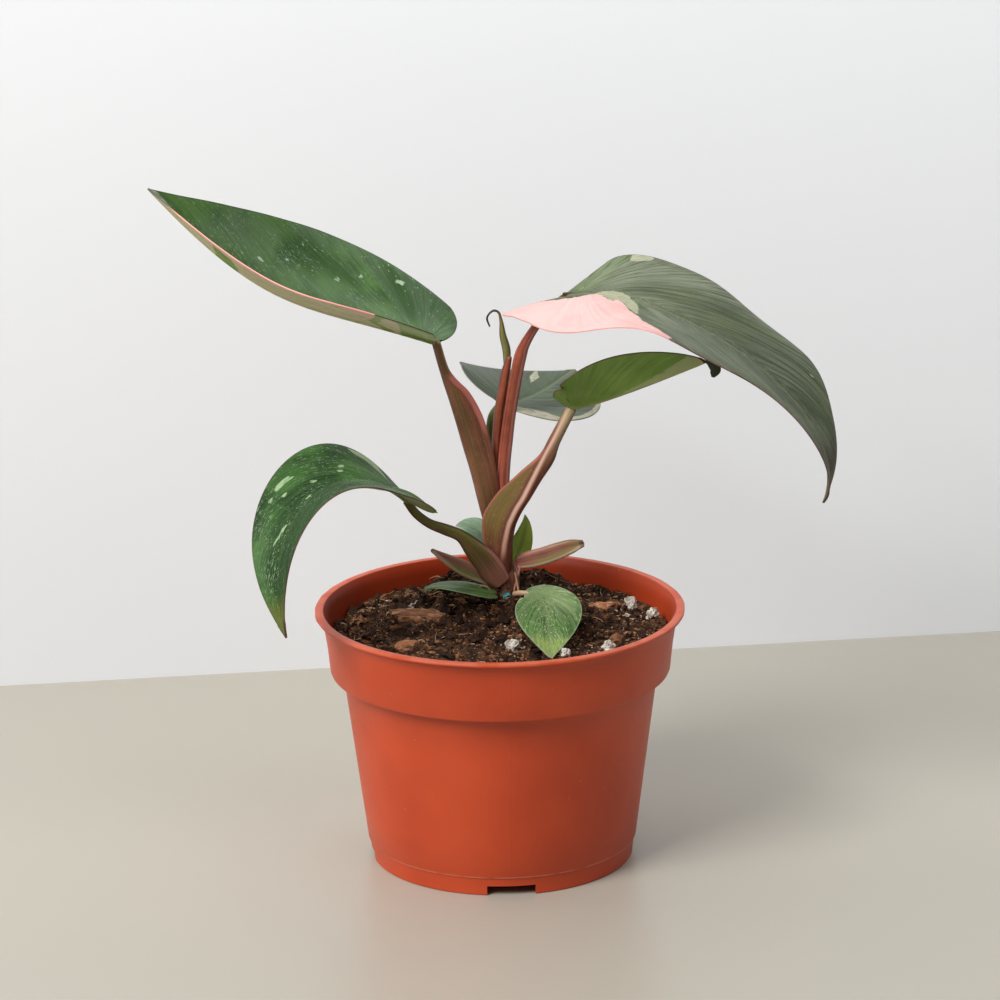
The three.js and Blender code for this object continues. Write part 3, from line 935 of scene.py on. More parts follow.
@dataclass
class Pot:
    """The moulded pot: foot ring, tapering body, stepped collar and turned-out rim."""

    height: float = 75
    rim_radius: float = 54
    rim_inner: float = 51.4
    rim_thickness: float = 1.5
    collar_top: float = 51.2
    collar_bottom: float = 49.65
    collar_level: float = 56.4
    body_top: float = 46
    body_bottom: float = 39.5
    foot_height: float = 5.6
    foot_radius: float = 38.5
    foot_width: float = 2.4
    wall: float = 1.3
    underside: float = 3
    pad_radius: float = 14
    notch_count: int = 4
    notch_width: float = 14
    notch_height: float = 3
    notch_depth: float = 8
    turn: float = 3.7
    hole_radius: float = 4
    hole_circle: float = 25
    hole_depth: float = 12
    hole_segments: int = 32
    segments: int = 160
    flash: float = 0.16  # how uneven the rim's outer edge is
    crease: float = 32  # degrees from which an edge stays sharp
    inward: float = -0.3  # how far towards the axis the faces of the inside look; those get the painted-shade finish
    finish: MouldedPlastic = field(default_factory=MouldedPlastic)
    # The inside: a darker, duller copy of the plastic, which is painted shade in the pot's
    # interior.
    inside: MouldedPlastic = MouldedPlastic(
        "terracotta_inside_painted_shade", tint("a53b1d"), tint("912f14"), gloss=0.15
    )

    def wall_radius(self, z: float) -> float:
        """Give the body's outer radius at a level below the collar."""
        share = (z - self.foot_height) / (self.collar_level - self.foot_height)
        return self.body_bottom + (self.body_top - self.body_bottom) * share

    def profile(self) -> list[Spot]:
        """Give the section as radius and level, from the pad's edge round to the floor's middle.

        Returns:
            The corners of the section, in millimetres.
        """
        rim = self.height - self.rim_thickness
        ledge = self.collar_level + self.wall
        floor = self.underside + self.wall
        return [
            (self.pad_radius, 0),
            (self.pad_radius + 2, self.underside),
            (self.foot_radius - self.foot_width - 0.8, self.underside),
            (self.foot_radius - self.foot_width, 0.3),
            (self.foot_radius - self.foot_width + 0.3, 0),
            (self.foot_radius - 0.3, 0),
            (self.foot_radius, 0.3),
            (self.foot_radius + 0.5, self.foot_height - 0.5),
            (self.foot_radius + 0.62, self.foot_height - 0.2),
            (self.body_bottom - 0.12, self.foot_height),
            (self.body_bottom + 0.03, self.foot_height + 0.25),
            (self.wall_radius(18), 18),
            (self.wall_radius(30), 30),
            (self.wall_radius(44), 44),
            (self.body_top - 0.05, self.collar_level - 0.6),
            (self.body_top + 0.35, self.collar_level - 0.1),
            (self.collar_bottom - 0.9, self.collar_level + 0.05),
            (self.collar_bottom - 0.3, self.collar_level + 0.25),
            (self.collar_bottom, self.collar_level + 0.9),
            ((self.collar_bottom + self.collar_top) / 2, (self.collar_level + rim) / 2),
            (self.collar_top, rim - 3.6),
            (self.collar_top + 0.45, rim - 1.6),
            (self.collar_top + 1, rim - 0.5),
            (self.collar_top + 1.4, rim),
            (self.rim_radius - 1, rim + 0.3),
            (self.rim_radius - 0.25, rim + 0.5),
            (self.rim_radius - 0.05, rim + 0.66),
            (self.rim_radius, rim + 0.9),
            (self.rim_radius - 0.02, self.height - 0.3),
            (self.rim_radius - 0.12, self.height - 0.1),
            (self.rim_radius - 0.35, self.height),
            (self.rim_inner + 0.15, self.height),
            (self.rim_inner, self.height - 0.06),
            (self.rim_inner - 0.15, self.height - 0.3),
            (self.rim_inner - 0.6, self.height - 1.1),
            (self.rim_inner - 1.1, self.height - 2.2),
            (self.rim_inner - 1.4, self.height - 3.8),
            (self.collar_bottom - self.wall, ledge + 0.6),
            (self.collar_bottom - self.wall - 0.6, ledge),
            (self.body_top - self.wall, ledge - 0.4),
            (self.wall_radius(30) - self.wall, 30),
            (self.wall_radius(floor + 3) - self.wall, floor + 3),
            (self.wall_radius(floor) - self.wall - 1.8, floor),
            (self.pad_radius + 2.4, floor),
            (self.pad_radius + 0.4, self.wall),
        ]

    def shell(self) -> bpy.types.Object:
        """Draw the section out ring by ring from a disc, and close it with another.

        Returns:
            The closed shell, without its openings.
        """
        profile = self.profile()
        start, _ = profile[0]
        Bench.clear()
        bpy.ops.mesh.primitive_circle_add(
            vertices=self.segments, radius=start * MM, fill_type="NGON", location=(0, 0, 0)
        )
        item = Bench.named("nursery_pot")
        with Bench.edit(item):
            bpy.ops.mesh.select_all(action="SELECT")
            bpy.ops.mesh.region_to_loop()
            for (before, low), (radius, high) in zip(profile, profile[1:]):
                bpy.ops.mesh.extrude_edges_move(
                    TRANSFORM_OT_translate={"value": (0, 0, (high - low) * MM)}
                )
                share = radius / before
                bpy.ops.transform.resize(value=(share, share, 1), center_override=(0, 0, high * MM))
            bpy.ops.mesh.edge_face_add()
            bpy.ops.mesh.select_all(action="SELECT")
            bpy.ops.mesh.normals_make_consistent(inside=False)
        return item

    def cut(self, item: bpy.types.Object, cutter: bpy.types.Object) -> None:
        """Take a cutter out of the pot, and remove the cutter."""
        Bench.modify(item, "BOOLEAN", operation="DIFFERENCE", solver="EXACT", object=cutter)
        bpy.data.objects.remove(cutter)

    def openings(self, item: bpy.types.Object) -> None:
        """Cut the foot ring's notches and the floor's drain holes.

        Args:
            item: the pot.
        """
        for i in range(self.notch_count):
            turn = math.radians(self.turn + 360 * i / self.notch_count)
            x, y = self.foot_radius * math.sin(turn), -self.foot_radius * math.cos(turn)
            Bench.clear()
            bpy.ops.mesh.primitive_cube_add(
                size=MM,
                location=(x * MM, y * MM, 0),
                rotation=(0, 0, turn),
                scale=(self.notch_width, self.notch_depth, 2 * self.notch_height),
            )
            cutter = Bench.named("notch_cutter")
            bpy.ops.object.transform_apply(location=True, rotation=True, scale=True)
            self.cut(item, cutter)
        for i in range(self.notch_count):
            turn = math.radians(self.turn + 360 * (i + 0.5) / self.notch_count)
            x, y = self.hole_circle * math.sin(turn), -self.hole_circle * math.cos(turn)
            Bench.clear()
            bpy.ops.mesh.primitive_cylinder_add(
                vertices=self.hole_segments,
                radius=self.hole_radius * MM,
                depth=self.hole_depth * MM,
                location=(x * MM, y * MM, 0),
            )
            cutter = Bench.named("hole_cutter")
            bpy.ops.object.transform_apply(location=True, rotation=True, scale=True)
            self.cut(item, cutter)

    def ripple(self, x: float, y: float) -> float:
        """Give the moulding's unevenness at a place on the rim.

        Args:
            x: the place, to the right of the axis.
            y: the place, behind the axis.

        Returns:
            A height of about -1 to 1.
        """
        broad = noise.noise(Vector((x * 0.22, y * 0.22, 3.1)))
        return broad + 0.6 * noise.noise(Vector((x, y, 9.7)))

    def uneven(self, item: bpy.types.Object) -> None:
        """Leave the rim slightly wavy, with the moulding's flash along its outer edge.

        Args:
            item: the pot.
        """
        places = Bench.points(item) / MM
        radius = np.hypot(places[:, 0], places[:, 1])
        rim = np.clip((radius - self.rim_inner) / (self.rim_radius - self.rim_inner), 0, 1)
        rim *= places[:, 2] > self.collar_level + 8
        waves = np.array([self.ripple(x, y) for x, y in places[:, :2]])
        grow = 1 + rim * (waves - 0.9) * self.flash / np.maximum(radius, 1)
        places[:, :2] *= grow[:, None]
        Bench.place(item, places * MM)

    def build(self) -> None:
        """Make the pot."""
        item = self.shell()
        self.openings(item)
        self.uneven(item)
        Bench.smooth(item, self.crease)
        # Faces that look inwards get the darker copy of the plastic: painted shade inside the pot.
        for face in item.data.polygons:
            outward = Vector((face.center.x, face.center.y, 0)).normalized()
            above = face.center.z > self.underside * MM
            if above and face.normal.dot(outward) < self.inward:
                face.material_index = 1
        Bench.dress(item, [self.finish.make(), self.inside.make()], "pot", ["pot"])


# ---------------------------------------------------------------- curves


def spline(points: np.ndarray, share: np.ndarray) -> np.ndarray:
    """Follow a smooth curve through points that are evenly spaced in its parameter.

    Args:
        points: the points, one row each.
        share: where to read it, from 0 to 1.

    Returns:
        The places on the curve, one row for each share.
    """
    at = np.clip(share, 0, 1) * (len(points) - 1)
    first = np.minimum(np.floor(at).astype(int), len(points) - 2)
    t = (at - first)[..., None]
    p0, p1 = points[np.maximum(first - 1, 0)], points[first]
    p2, p3 = points[first + 1], points[np.minimum(first + 2, len(points) - 1)]
    v0, v1 = (p2 - p0) / 2, (p3 - p1) / 2
    return (2 * p1 - 2 * p2 + v0 + v1) * t**3 + (3 * p2 - 3 * p1 - 2 * v0 - v1) * t**2 + v0 * t + p1


def path(points: np.ndarray, share: np.ndarray) -> np.ndarray:
    """Follow a centripetal curve through points that aren't evenly spaced.

    Args:
        points: the points, one row each.
        share: where to read it, from 0 to 1.

    Returns:
        The places on the curve, one row for each share.
    """
    ends = np.vstack([2 * points[0] - points[1], points, 2 * points[-1] - points[-2]])
    at = np.clip(share, 0, 1) * (len(points) - 1)
    first = np.minimum(np.floor(at).astype(int), len(points) - 2)
    t = (at - first)[:, None]
    p0, p1, p2, p3 = (ends[first + k] for k in range(4))
    d0, d1, d2 = (
        np.sqrt(np.linalg.norm(b - a, axis=1))[:, None] for a, b in ((p0, p1), (p1, p2), (p2, p3))
    )
    m1 = ((p1 - p0) / d0 - (p2 - p0) / (d0 + d1) + (p2 - p1) / d1) * d1
    m2 = ((p2 - p1) / d1 - (p3 - p1) / (d1 + d2) + (p3 - p2) / d2) * d1
    return p1 + m1 * t + (3 * p2 - 3 * p1 - 2 * m1 - m2) * t**2 + (2 * p1 - 2 * p2 + m1 + m2) * t**3


def unit(vectors: np.ndarray) -> np.ndarray:
    """Scale each row to a length of 1."""
    return vectors / np.maximum(np.linalg.norm(vectors, axis=-1, keepdims=True), 1e-9)


def gap_to(line: np.ndarray, places: np.ndarray) -> np.ndarray:
    """Give each place's distance to a line through points, all in rows of two numbers.

    Args:
        line: the line's points, in order.
        places: the places to measure from.

    Returns:
        One distance for each place.
    """
    best = np.full(len(places), 1e9)
    for a, b in zip(line, line[1:]):
        side = b - a
        share = np.clip(((places - a) @ side) / max(side @ side, 1e-9), 0, 1)
        best = np.minimum(best, np.linalg.norm(places - a - share[:, None] * side, axis=1))
    return best


def inside_by(outline: Sequence[Spot], places: np.ndarray) -> np.ndarray:
    """Say how far inside a closed outline each place is.

    Args:
        outline: its corners.
        places: one row of two numbers for each place.

    Returns:
        The distance to the outline, and minus that distance outside it.
    """
    corners = np.array([*outline, outline[0]], dtype=float)
    within = np.zeros(len(places), dtype=bool)
    for a, b in zip(corners, corners[1:]):
        rise = b[1] - a[1]
        if abs(rise) > 1e-9:
            crosses = (a[1] > places[:, 1]) != (b[1] > places[:, 1])
            within ^= crosses & (places[:, 0] < a[0] + (b[0] - a[0]) * (places[:, 1] - a[1]) / rise)
    gap = gap_to(corners, places)
    return np.where(within, gap, -gap)


# ---------------------------------------------------------------- stalks

Station = tuple[float, float, float, float, float, float]


@dataclass
class Stalk:
    """A petiole, sheath, scale or spear.

    Each station is a point of its middle line, its half-widths to the left and right as seen from
    the front, and its half-depth.
    """

    name: str
    stations: tuple[Station, ...]
    finish: StalkFinish
    slot: str
    nodes: tuple[str, ...]
    sides: int = 36
    steps: int = 14
    thin: float = 0.0  # how much the wide side is drawn out to a wing
    groove: float = 0.0  # how deep the channel down its front is
    root: float = 0.16  # how much of the first step its near end takes to close
    tip: float = 0.16  # how much of the last step its far end takes
    reach: float = 0.0  # how far it runs on into what it carries

    def build(self) -> None:
        """Make the stalk."""
        stations = np.array(self.stations, dtype=float)
        if self.reach:
            way = unit(stations[-1, :3] - stations[-2, :3])
            stations[-1, :3] += way * self.reach
        count = (len(stations) - 1) * self.steps
        item = Bench.sheet(self.name, count, self.sides)
        grid = Bench.points(item)
        share = grid[:, 0]
        turn = 2 * math.pi * grid[:, 1]
        centre = path(stations[:, :3], share)
        step = 1e-4
        tangent = unit(path(stations[:, :3], share + step) - path(stations[:, :3], share - step))
        left, right, depth = np.maximum(spline(stations[:, 3:], share), 0.15).T
        across = unit(np.cross(tangent, np.array([0, -1, 0])))
        outward = np.cross(across, tangent)
        cosine, sine = np.cos(turn), np.sin(turn)
        width = np.where(cosine > 0, right, left)
        drawn = np.clip(width / np.maximum(depth, 0.1) - 1, 0, 2) / 2
        depth = depth * (1 - self.thin * drawn * np.abs(cosine) ** 0.8)
        depth = depth * (1 - self.groove * np.clip(sine, 0, 1) ** 6)
        ends = ((share, self.root), (1 - share, self.tip))
        near, far = (np.clip(end * count / self.steps / span, 0, 1) for end, span in ends)
        close = np.sqrt(np.clip(1 - (1 - np.minimum(near, far)) ** 2, 0.04, 1))
        over, ahead = width * cosine * close, depth * sine * close
        places = centre + across * over[:, None] + outward * ahead[:, None]
        Bench.place(item, places * MM)
        middle = path(stations[:, :3], np.linspace(0, 1, 200))
        length = np.linalg.norm(np.diff(middle, axis=0), axis=1).sum()
        Bench.note(item, "around", np.column_stack([cosine, sine, share * length]))
        lateral = width * cosine
        Bench.note(item, "spread", np.column_stack([lateral, lateral + left, right - lateral]))
        Bench.weld(item, fill=True)
        Bench.smooth(item, 60)
        Bench.dress(item, [self.finish.make()], self.slot, self.nodes)


# ---------------------------------------------------------------- blades


class Mark(Enum):
    """What a patch on a blade looks like, painted sheen and painted shade among them; each has an
    attribute of its own.
    """

    PINK = "pink"
    CREAM = "cream"
    # painted sheen: paler grey-green where light glances off the leaf
    PAINTED_SHEEN = "pale"
    FRESH = "fresh"
    # darker green tissue, and painted shade
    DARK = "dark"
    BROWN = "brown"


Patches = dict[Mark, tuple[tuple[Spot, ...], ...]]

OUTLINE = (
    (0, 0), (-0.07, 0.12), (-0.11, 0.35), (-0.08, 0.62), (0.03, 0.87), (0.22, 1), (0.42, 0.93),
    (0.62, 0.7), (0.8, 0.4), (0.93, 0.14), (1, 0),
)
FULL_OUTLINE = (
    (0, 0), (0.04, 0.12), (0.02, 0.35), (0.015, 0.66), (0.03, 1.12), (0.22, 1.1), (0.42, 0.87),
    (0.62, 0.78), (0.8, 0.37), (0.93, 0.12), (1, 0),
)
DRAWN_OUTLINE = (
    (0, 0), (-0.16, 0.12), (-0.11, 0.33), (-0.05, 0.56), (0.03, 0.81), (0.22, 0.97), (0.42, 1.04),
    (0.62, 0.61), (0.8, 0.38), (0.93, 0.12), (1, 0),
)

ROUND_OUTLINE = (
    (0, 0), (-0.07, 0.12), (-0.1, 0.28), (-0.04, 0.47), (0.08, 0.72), (0.26, 0.95), (0.44, 1),
    (0.62, 0.84), (0.8, 0.5), (0.93, 0.19), (1, 0),
)


@dataclass(frozen=True)
class Half:
    """One side of a blade: its width, its lobe, the angles it stands up at, its margin's wave."""

    width: float
    lobe: float
    fold: Spot
    wave: Point = (0, 1, 0)
    outline: tuple[Spot, ...] = OUTLINE


@dataclass
class Blade:
    """A leaf blade: a thin, folded, waved sheet on a curved midrib.

    Leaf coordinates are u, along the midrib from the sinus, and v, out to the side: above 0 on the
    left half, as seen from above with the tip ahead.
    """

    name: str
    rib: tuple[Point, Point, Point, Point]
    face: tuple[Point, Point]
    left: Half
    right: Half
    upper: LeafFinish
    under: LeafFinish
    slot: str
    node: str
    patches: Patches = field(default_factory=dict)
    rows: int = 150
    columns: int = 40
    thickness: float = 0.62
    rim: float = 0.3
    keel: float = 0.75
    groove: float = 0.3
    quilt: float = 0.1
    quilts: float = 9
    lobe_share: float = 0.4
    lobe_rows: float = 0.3
    sweep: float = 1.15
    curve: float = 1.3
    fan: float = 0.13  # the share of the midrib that the base's fan of veins takes
    fanned: float = 0.39
    sweep_on: float = 0.63  # how far towards the tip the side veins run
    edging: MarginFinish = field(default_factory=MarginFinish)

    def midrib(self, share: np.ndarray) -> np.ndarray:
        """Give the midrib's points at shares of its Bezier parameter.

        Args:
            share: the shares, from 0 to 1.

        Returns:
            The points, one row for each share.
        """
        p0, p1, p2, p3 = (np.array(p, dtype=float) for p in self.rib)
        t = share[:, None]
        return (1 - t) ** 3 * p0 + 3 * (1 - t) ** 2 * t * p1 + 3 * (1 - t) * t**2 * p2 + t**3 * p3

    def slope(self, share: np.ndarray) -> np.ndarray:
        """Give the midrib's directions at shares of its Bezier parameter.

        Args:
            share: the shares, from 0 to 1.

        Returns:
            The directions, one row for each share.
        """
        p0, p1, p2, p3 = (np.array(p, dtype=float) for p in self.rib)
        t = share[:, None]
        return unit((1 - t) ** 2 * (p1 - p0) + 2 * (1 - t) * t * (p2 - p1) + t**2 * (p3 - p2))

    def surface(self, u: np.ndarray, v: np.ndarray, length: float, table: tuple) -> np.ndarray:
        """Give points of the middle surface.

        Args:
            u: along the midrib.
            v: out to the side, above 0 on the left half.
            length: the midrib's length.
            table: lengths along the midrib and the parameters that have them.

        Returns:
            The points, in millimetres, one row for each place.
        """
        share = np.clip(u / length, 0, 1)
        t = np.interp(share * length, *table)
        tangent = self.slope(t)
        first, last = (np.array(f, dtype=float) for f in self.face)
        up = first + (last - first) * share[:, None]
        up = unit(up - (up * tangent).sum(1, keepdims=True) * tangent)
        side = np.cross(up, tangent)
        out = np.abs(v)
        lift, fold = np.zeros_like(u), np.zeros_like(u)
        for half, here in ((self.left, v >= 0), (self.right, v < 0)):
            height, cycles, start = half.wave
            phase = 2 * math.pi * cycles * (u / length) + math.radians(start)
            lift = np.where(here, height * np.cos(phase) * (out / half.width) ** 2, lift)
            degrees = half.fold[0] + (half.fold[1] - half.fold[0]) * share
            fold = np.where(here, np.radians(degrees), fold)
        middle = self.midrib(t) + tangent * (u - share * length)[:, None]
        over, high = v * np.cos(fold), out * np.sin(fold) + lift
        return middle + side * over[:, None] + up * high[:, None]

    def margin(self, half: Half, share: np.ndarray, length: float) -> tuple[np.ndarray, np.ndarray]:
        """Read one half's outline in leaf coordinates.

        Args:
            half: the half.
            share: where along the outline it is read, from 0 to 1.
            length: the midrib's length.

        Returns:
            The places along the midrib, and how far out to the side they are.
        """
        line = spline(np.array(half.outline, dtype=float), share)
        along = line[:, 0] * length * np.where(line[:, 0] < 0, half.lobe, 1)
        return along, np.maximum(line[:, 1], 0) * half.width

    def build(self) -> None:
        """Make the blade."""
        item = Bench.sheet(self.name, self.rows, 2 * self.columns)
        grid = Bench.points(item)
        row, column = grid[:, 0], 2 * grid[:, 1] - 1
        steps = np.linspace(0, 1, 400)
        spans = np.linalg.norm(np.diff(self.midrib(steps), axis=0), axis=1)
        reach = np.concatenate([[0], np.cumsum(spans)])
        length, table = reach[-1], (reach, steps)
        share = np.clip((row - self.lobe_rows) / (1 - self.lobe_rows), 0, 1)
        lobe = self.lobe_share * row / self.lobe_rows
        rest = self.lobe_share + (1 - self.lobe_share) * share
        s = np.where(row < self.lobe_rows, lobe, rest)
        foot = length * share**self.sweep
        out = np.abs(column)
        u_edge, v_edge = np.zeros_like(row), np.zeros_like(row)
        rims = []
        for half, here in ((self.left, column >= 0), (self.right, column < 0)):
            along, wide = self.margin(half, s, length)
            u_edge = np.where(here, along, u_edge)
            v_edge = np.where(here, wide, v_edge)
            rims.append(np.column_stack(self.margin(half, np.linspace(0, 1, 160), length)))
        u = foot + (u_edge - foot) * out**self.curve
        v = v_edge * out * np.sign(column)
        Bench.place(item, self.surface(u, v, length, table) * MM)
        self.notes(item, u, v, out, length, rims)
        Bench.weld(item)
        self.thicken(item, length)
        Bench.smooth(item, 60)
        materials = [self.upper.make(), self.under.make(), self.edging.make()]
        Bench.dress(item, materials, self.slot, [self.node])

    def notes(
        self,
        item: bpy.types.Object,
        u: np.ndarray,
        v: np.ndarray,
        out: np.ndarray,
        length: float,
        rims: list[np.ndarray],
    ) -> None:
        """Keep the leaf coordinates and the patches in the mesh.

        Args:
            item: the blade.
            u: each vertex's place along the midrib.
            v: and out to the side.
            out: how far out along its row it is, from 0 to 1.
            length: the midrib's length.
            rims: the two halves' outlines in leaf coordinates.
        """
        where = np.column_stack([u, v])
        side = np.sign(v) * np.clip(np.abs(v) / 3, 0, 1) * 6
        edge, vein = np.zeros(len(u)), np.zeros(len(u))
        for outline, here in zip(rims, (v >= 0, v < 0)):
            edge[here] = gap_to(outline, np.column_stack([u, np.abs(v)])[here])
            vein[here] = self.vein(u[here], np.abs(v)[here], length, outline)
        edge = np.where(out > 0.999, 0, edge)
        Bench.note(item, "leaf", np.column_stack([u, v, side]))
        Bench.note(item, "veins", np.column_stack([vein, np.hypot(u, v), side]))
        Bench.note(item, "vein", vein)
        Bench.note(item, "rib", np.abs(v))
        Bench.note(item, "edge", edge)
        # One attribute for each mark; pale holds the painted sheen patches, dark the painted shade
        # and darker green ones.
        for mark in Mark:
            best = np.full(len(u), -20.0)
            for outline in self.patches.get(mark, ()):
                best = np.maximum(best, inside_by(outline, where))
            Bench.note(item, mark.value, best)

    def vein(
        self, u: np.ndarray, out: np.ndarray, length: float, outline: np.ndarray
    ) -> np.ndarray:
        """Number the side veins that pass through some places of one half.

        The veins of the lobes fan out from the blade's base. Further on they leave the midrib one
        after another and turn towards the tip.

        Args:
            u: along the midrib.
            out: away from the midrib.
            length: the midrib's length.
            outline: the half's outline.

        Returns:
            How far from the blade's base the vein leaves the midrib, and less than 0 in the fan.
        """
        widest = int(np.argmax(outline[:, 1]))
        width = np.interp(u, outline[widest:, 0], outline[widest:, 1])
        most = outline[widest, 1]
        x = np.clip(out / np.maximum(width, 0.5), 0, 1)
        bow = self.sweep_on * x**1.4 * np.sqrt(np.maximum(width / most, 0.02))
        last = length * (self.fan + bow)
        first = 0.03 * length
        fan = self.fanned * length * ((u - first) / np.maximum(last - first, 1) - 1)
        return np.where(u > last, u - last, fan)

    def read(self, item: bpy.types.Object, name: str) -> np.ndarray:
        """Read back a number that the mesh keeps for each vertex.

        Args:
            item: the blade.
            name: the attribute's name.

        Returns:
            The numbers, in the order of the vertices.
        """
        values = np.empty(len(item.data.vertices), dtype=np.float32)
        item.data.attributes[name].data.foreach_get("value", values)
        return values.astype(float)

    def thicken(self, item: bpy.types.Object, length: float) -> None:
        """Sink the midrib's groove, quilt the blade between side veins, and make it thick.

        Args:
            item: the blade as a sheet.
            length: the midrib's length.
        """
        rib, edge, vein = (self.read(item, name) for name in ("rib", "edge", "vein"))
        leaf = np.empty(len(rib) * 3, dtype=np.float32)
        item.data.attributes["leaf"].data.foreach_get("vector", leaf)
        along = np.clip(leaf.reshape(-1, 3)[:, 0] / length, 0, 1)
        taper = np.clip(1.1 - along, 0.1, 1)
        near = np.exp(-((rib / 1.0) ** 2))
        top = self.thickness / 2 - self.groove * near * taper
        bottom = -self.thickness / 2 - self.keel * np.exp(-((rib / 0.9) ** 2)) * taper
        phase = 2 * math.pi * vein * self.quilts / length + 2 * np.sin(0.31 * vein)
        wave = self.quilt * np.cos(phase)
        wave *= np.clip(rib / 5, 0, 1) * np.clip(edge / 4, 0, 1)
        thin = np.clip(edge / 1.6, 0, 1)
        top = np.where(rib > 2, (self.rim + (self.thickness - self.rim) * thin) / 2, top)
        bottom = np.where(rib > 2, -top, bottom)
        middle = (top + bottom) / 2 + wave
        places = Bench.points(item) + Bench.normals(item) * (middle * MM)[:, None]
        Bench.place(item, places)
        group = item.vertex_groups.new(name="thickness")
        deepest = self.thickness + self.keel
        for _ in range(3):
            item.data.materials.append(None)
        for number, value in enumerate((top - bottom) / deepest):
            group.add([number], float(value), "REPLACE")
        Bench.modify(
            item,
            "SOLIDIFY",
            thickness=deepest * MM,
            offset=0,
            vertex_group="thickness",
            material_offset=1,
            material_offset_rim=2,
            use_quality_normals=True,
        )


# ---------------------------------------------------------------- potting mix


FULL_TURN = 6.28  # radians
Heap = tuple[float, float, float, float]  # x, y, height, spread


def tumble(chance: random.Random, least: float, most: float, axis: str) -> Matrix:
    """Turn to a random heading after leaning by a random angle.

    Args:
        chance: the random draws.
        least: the smallest lean, in radians.
        most: the largest lean.
        axis: what it leans round, X or Y.

    Returns:
        The turn, as a matrix of four rows.
    """
    heading = Matrix.Rotation(chance.uniform(0, FULL_TURN), 4, "Z")
    return heading @ Matrix.Rotation(chance.uniform(least, most), 4, axis)


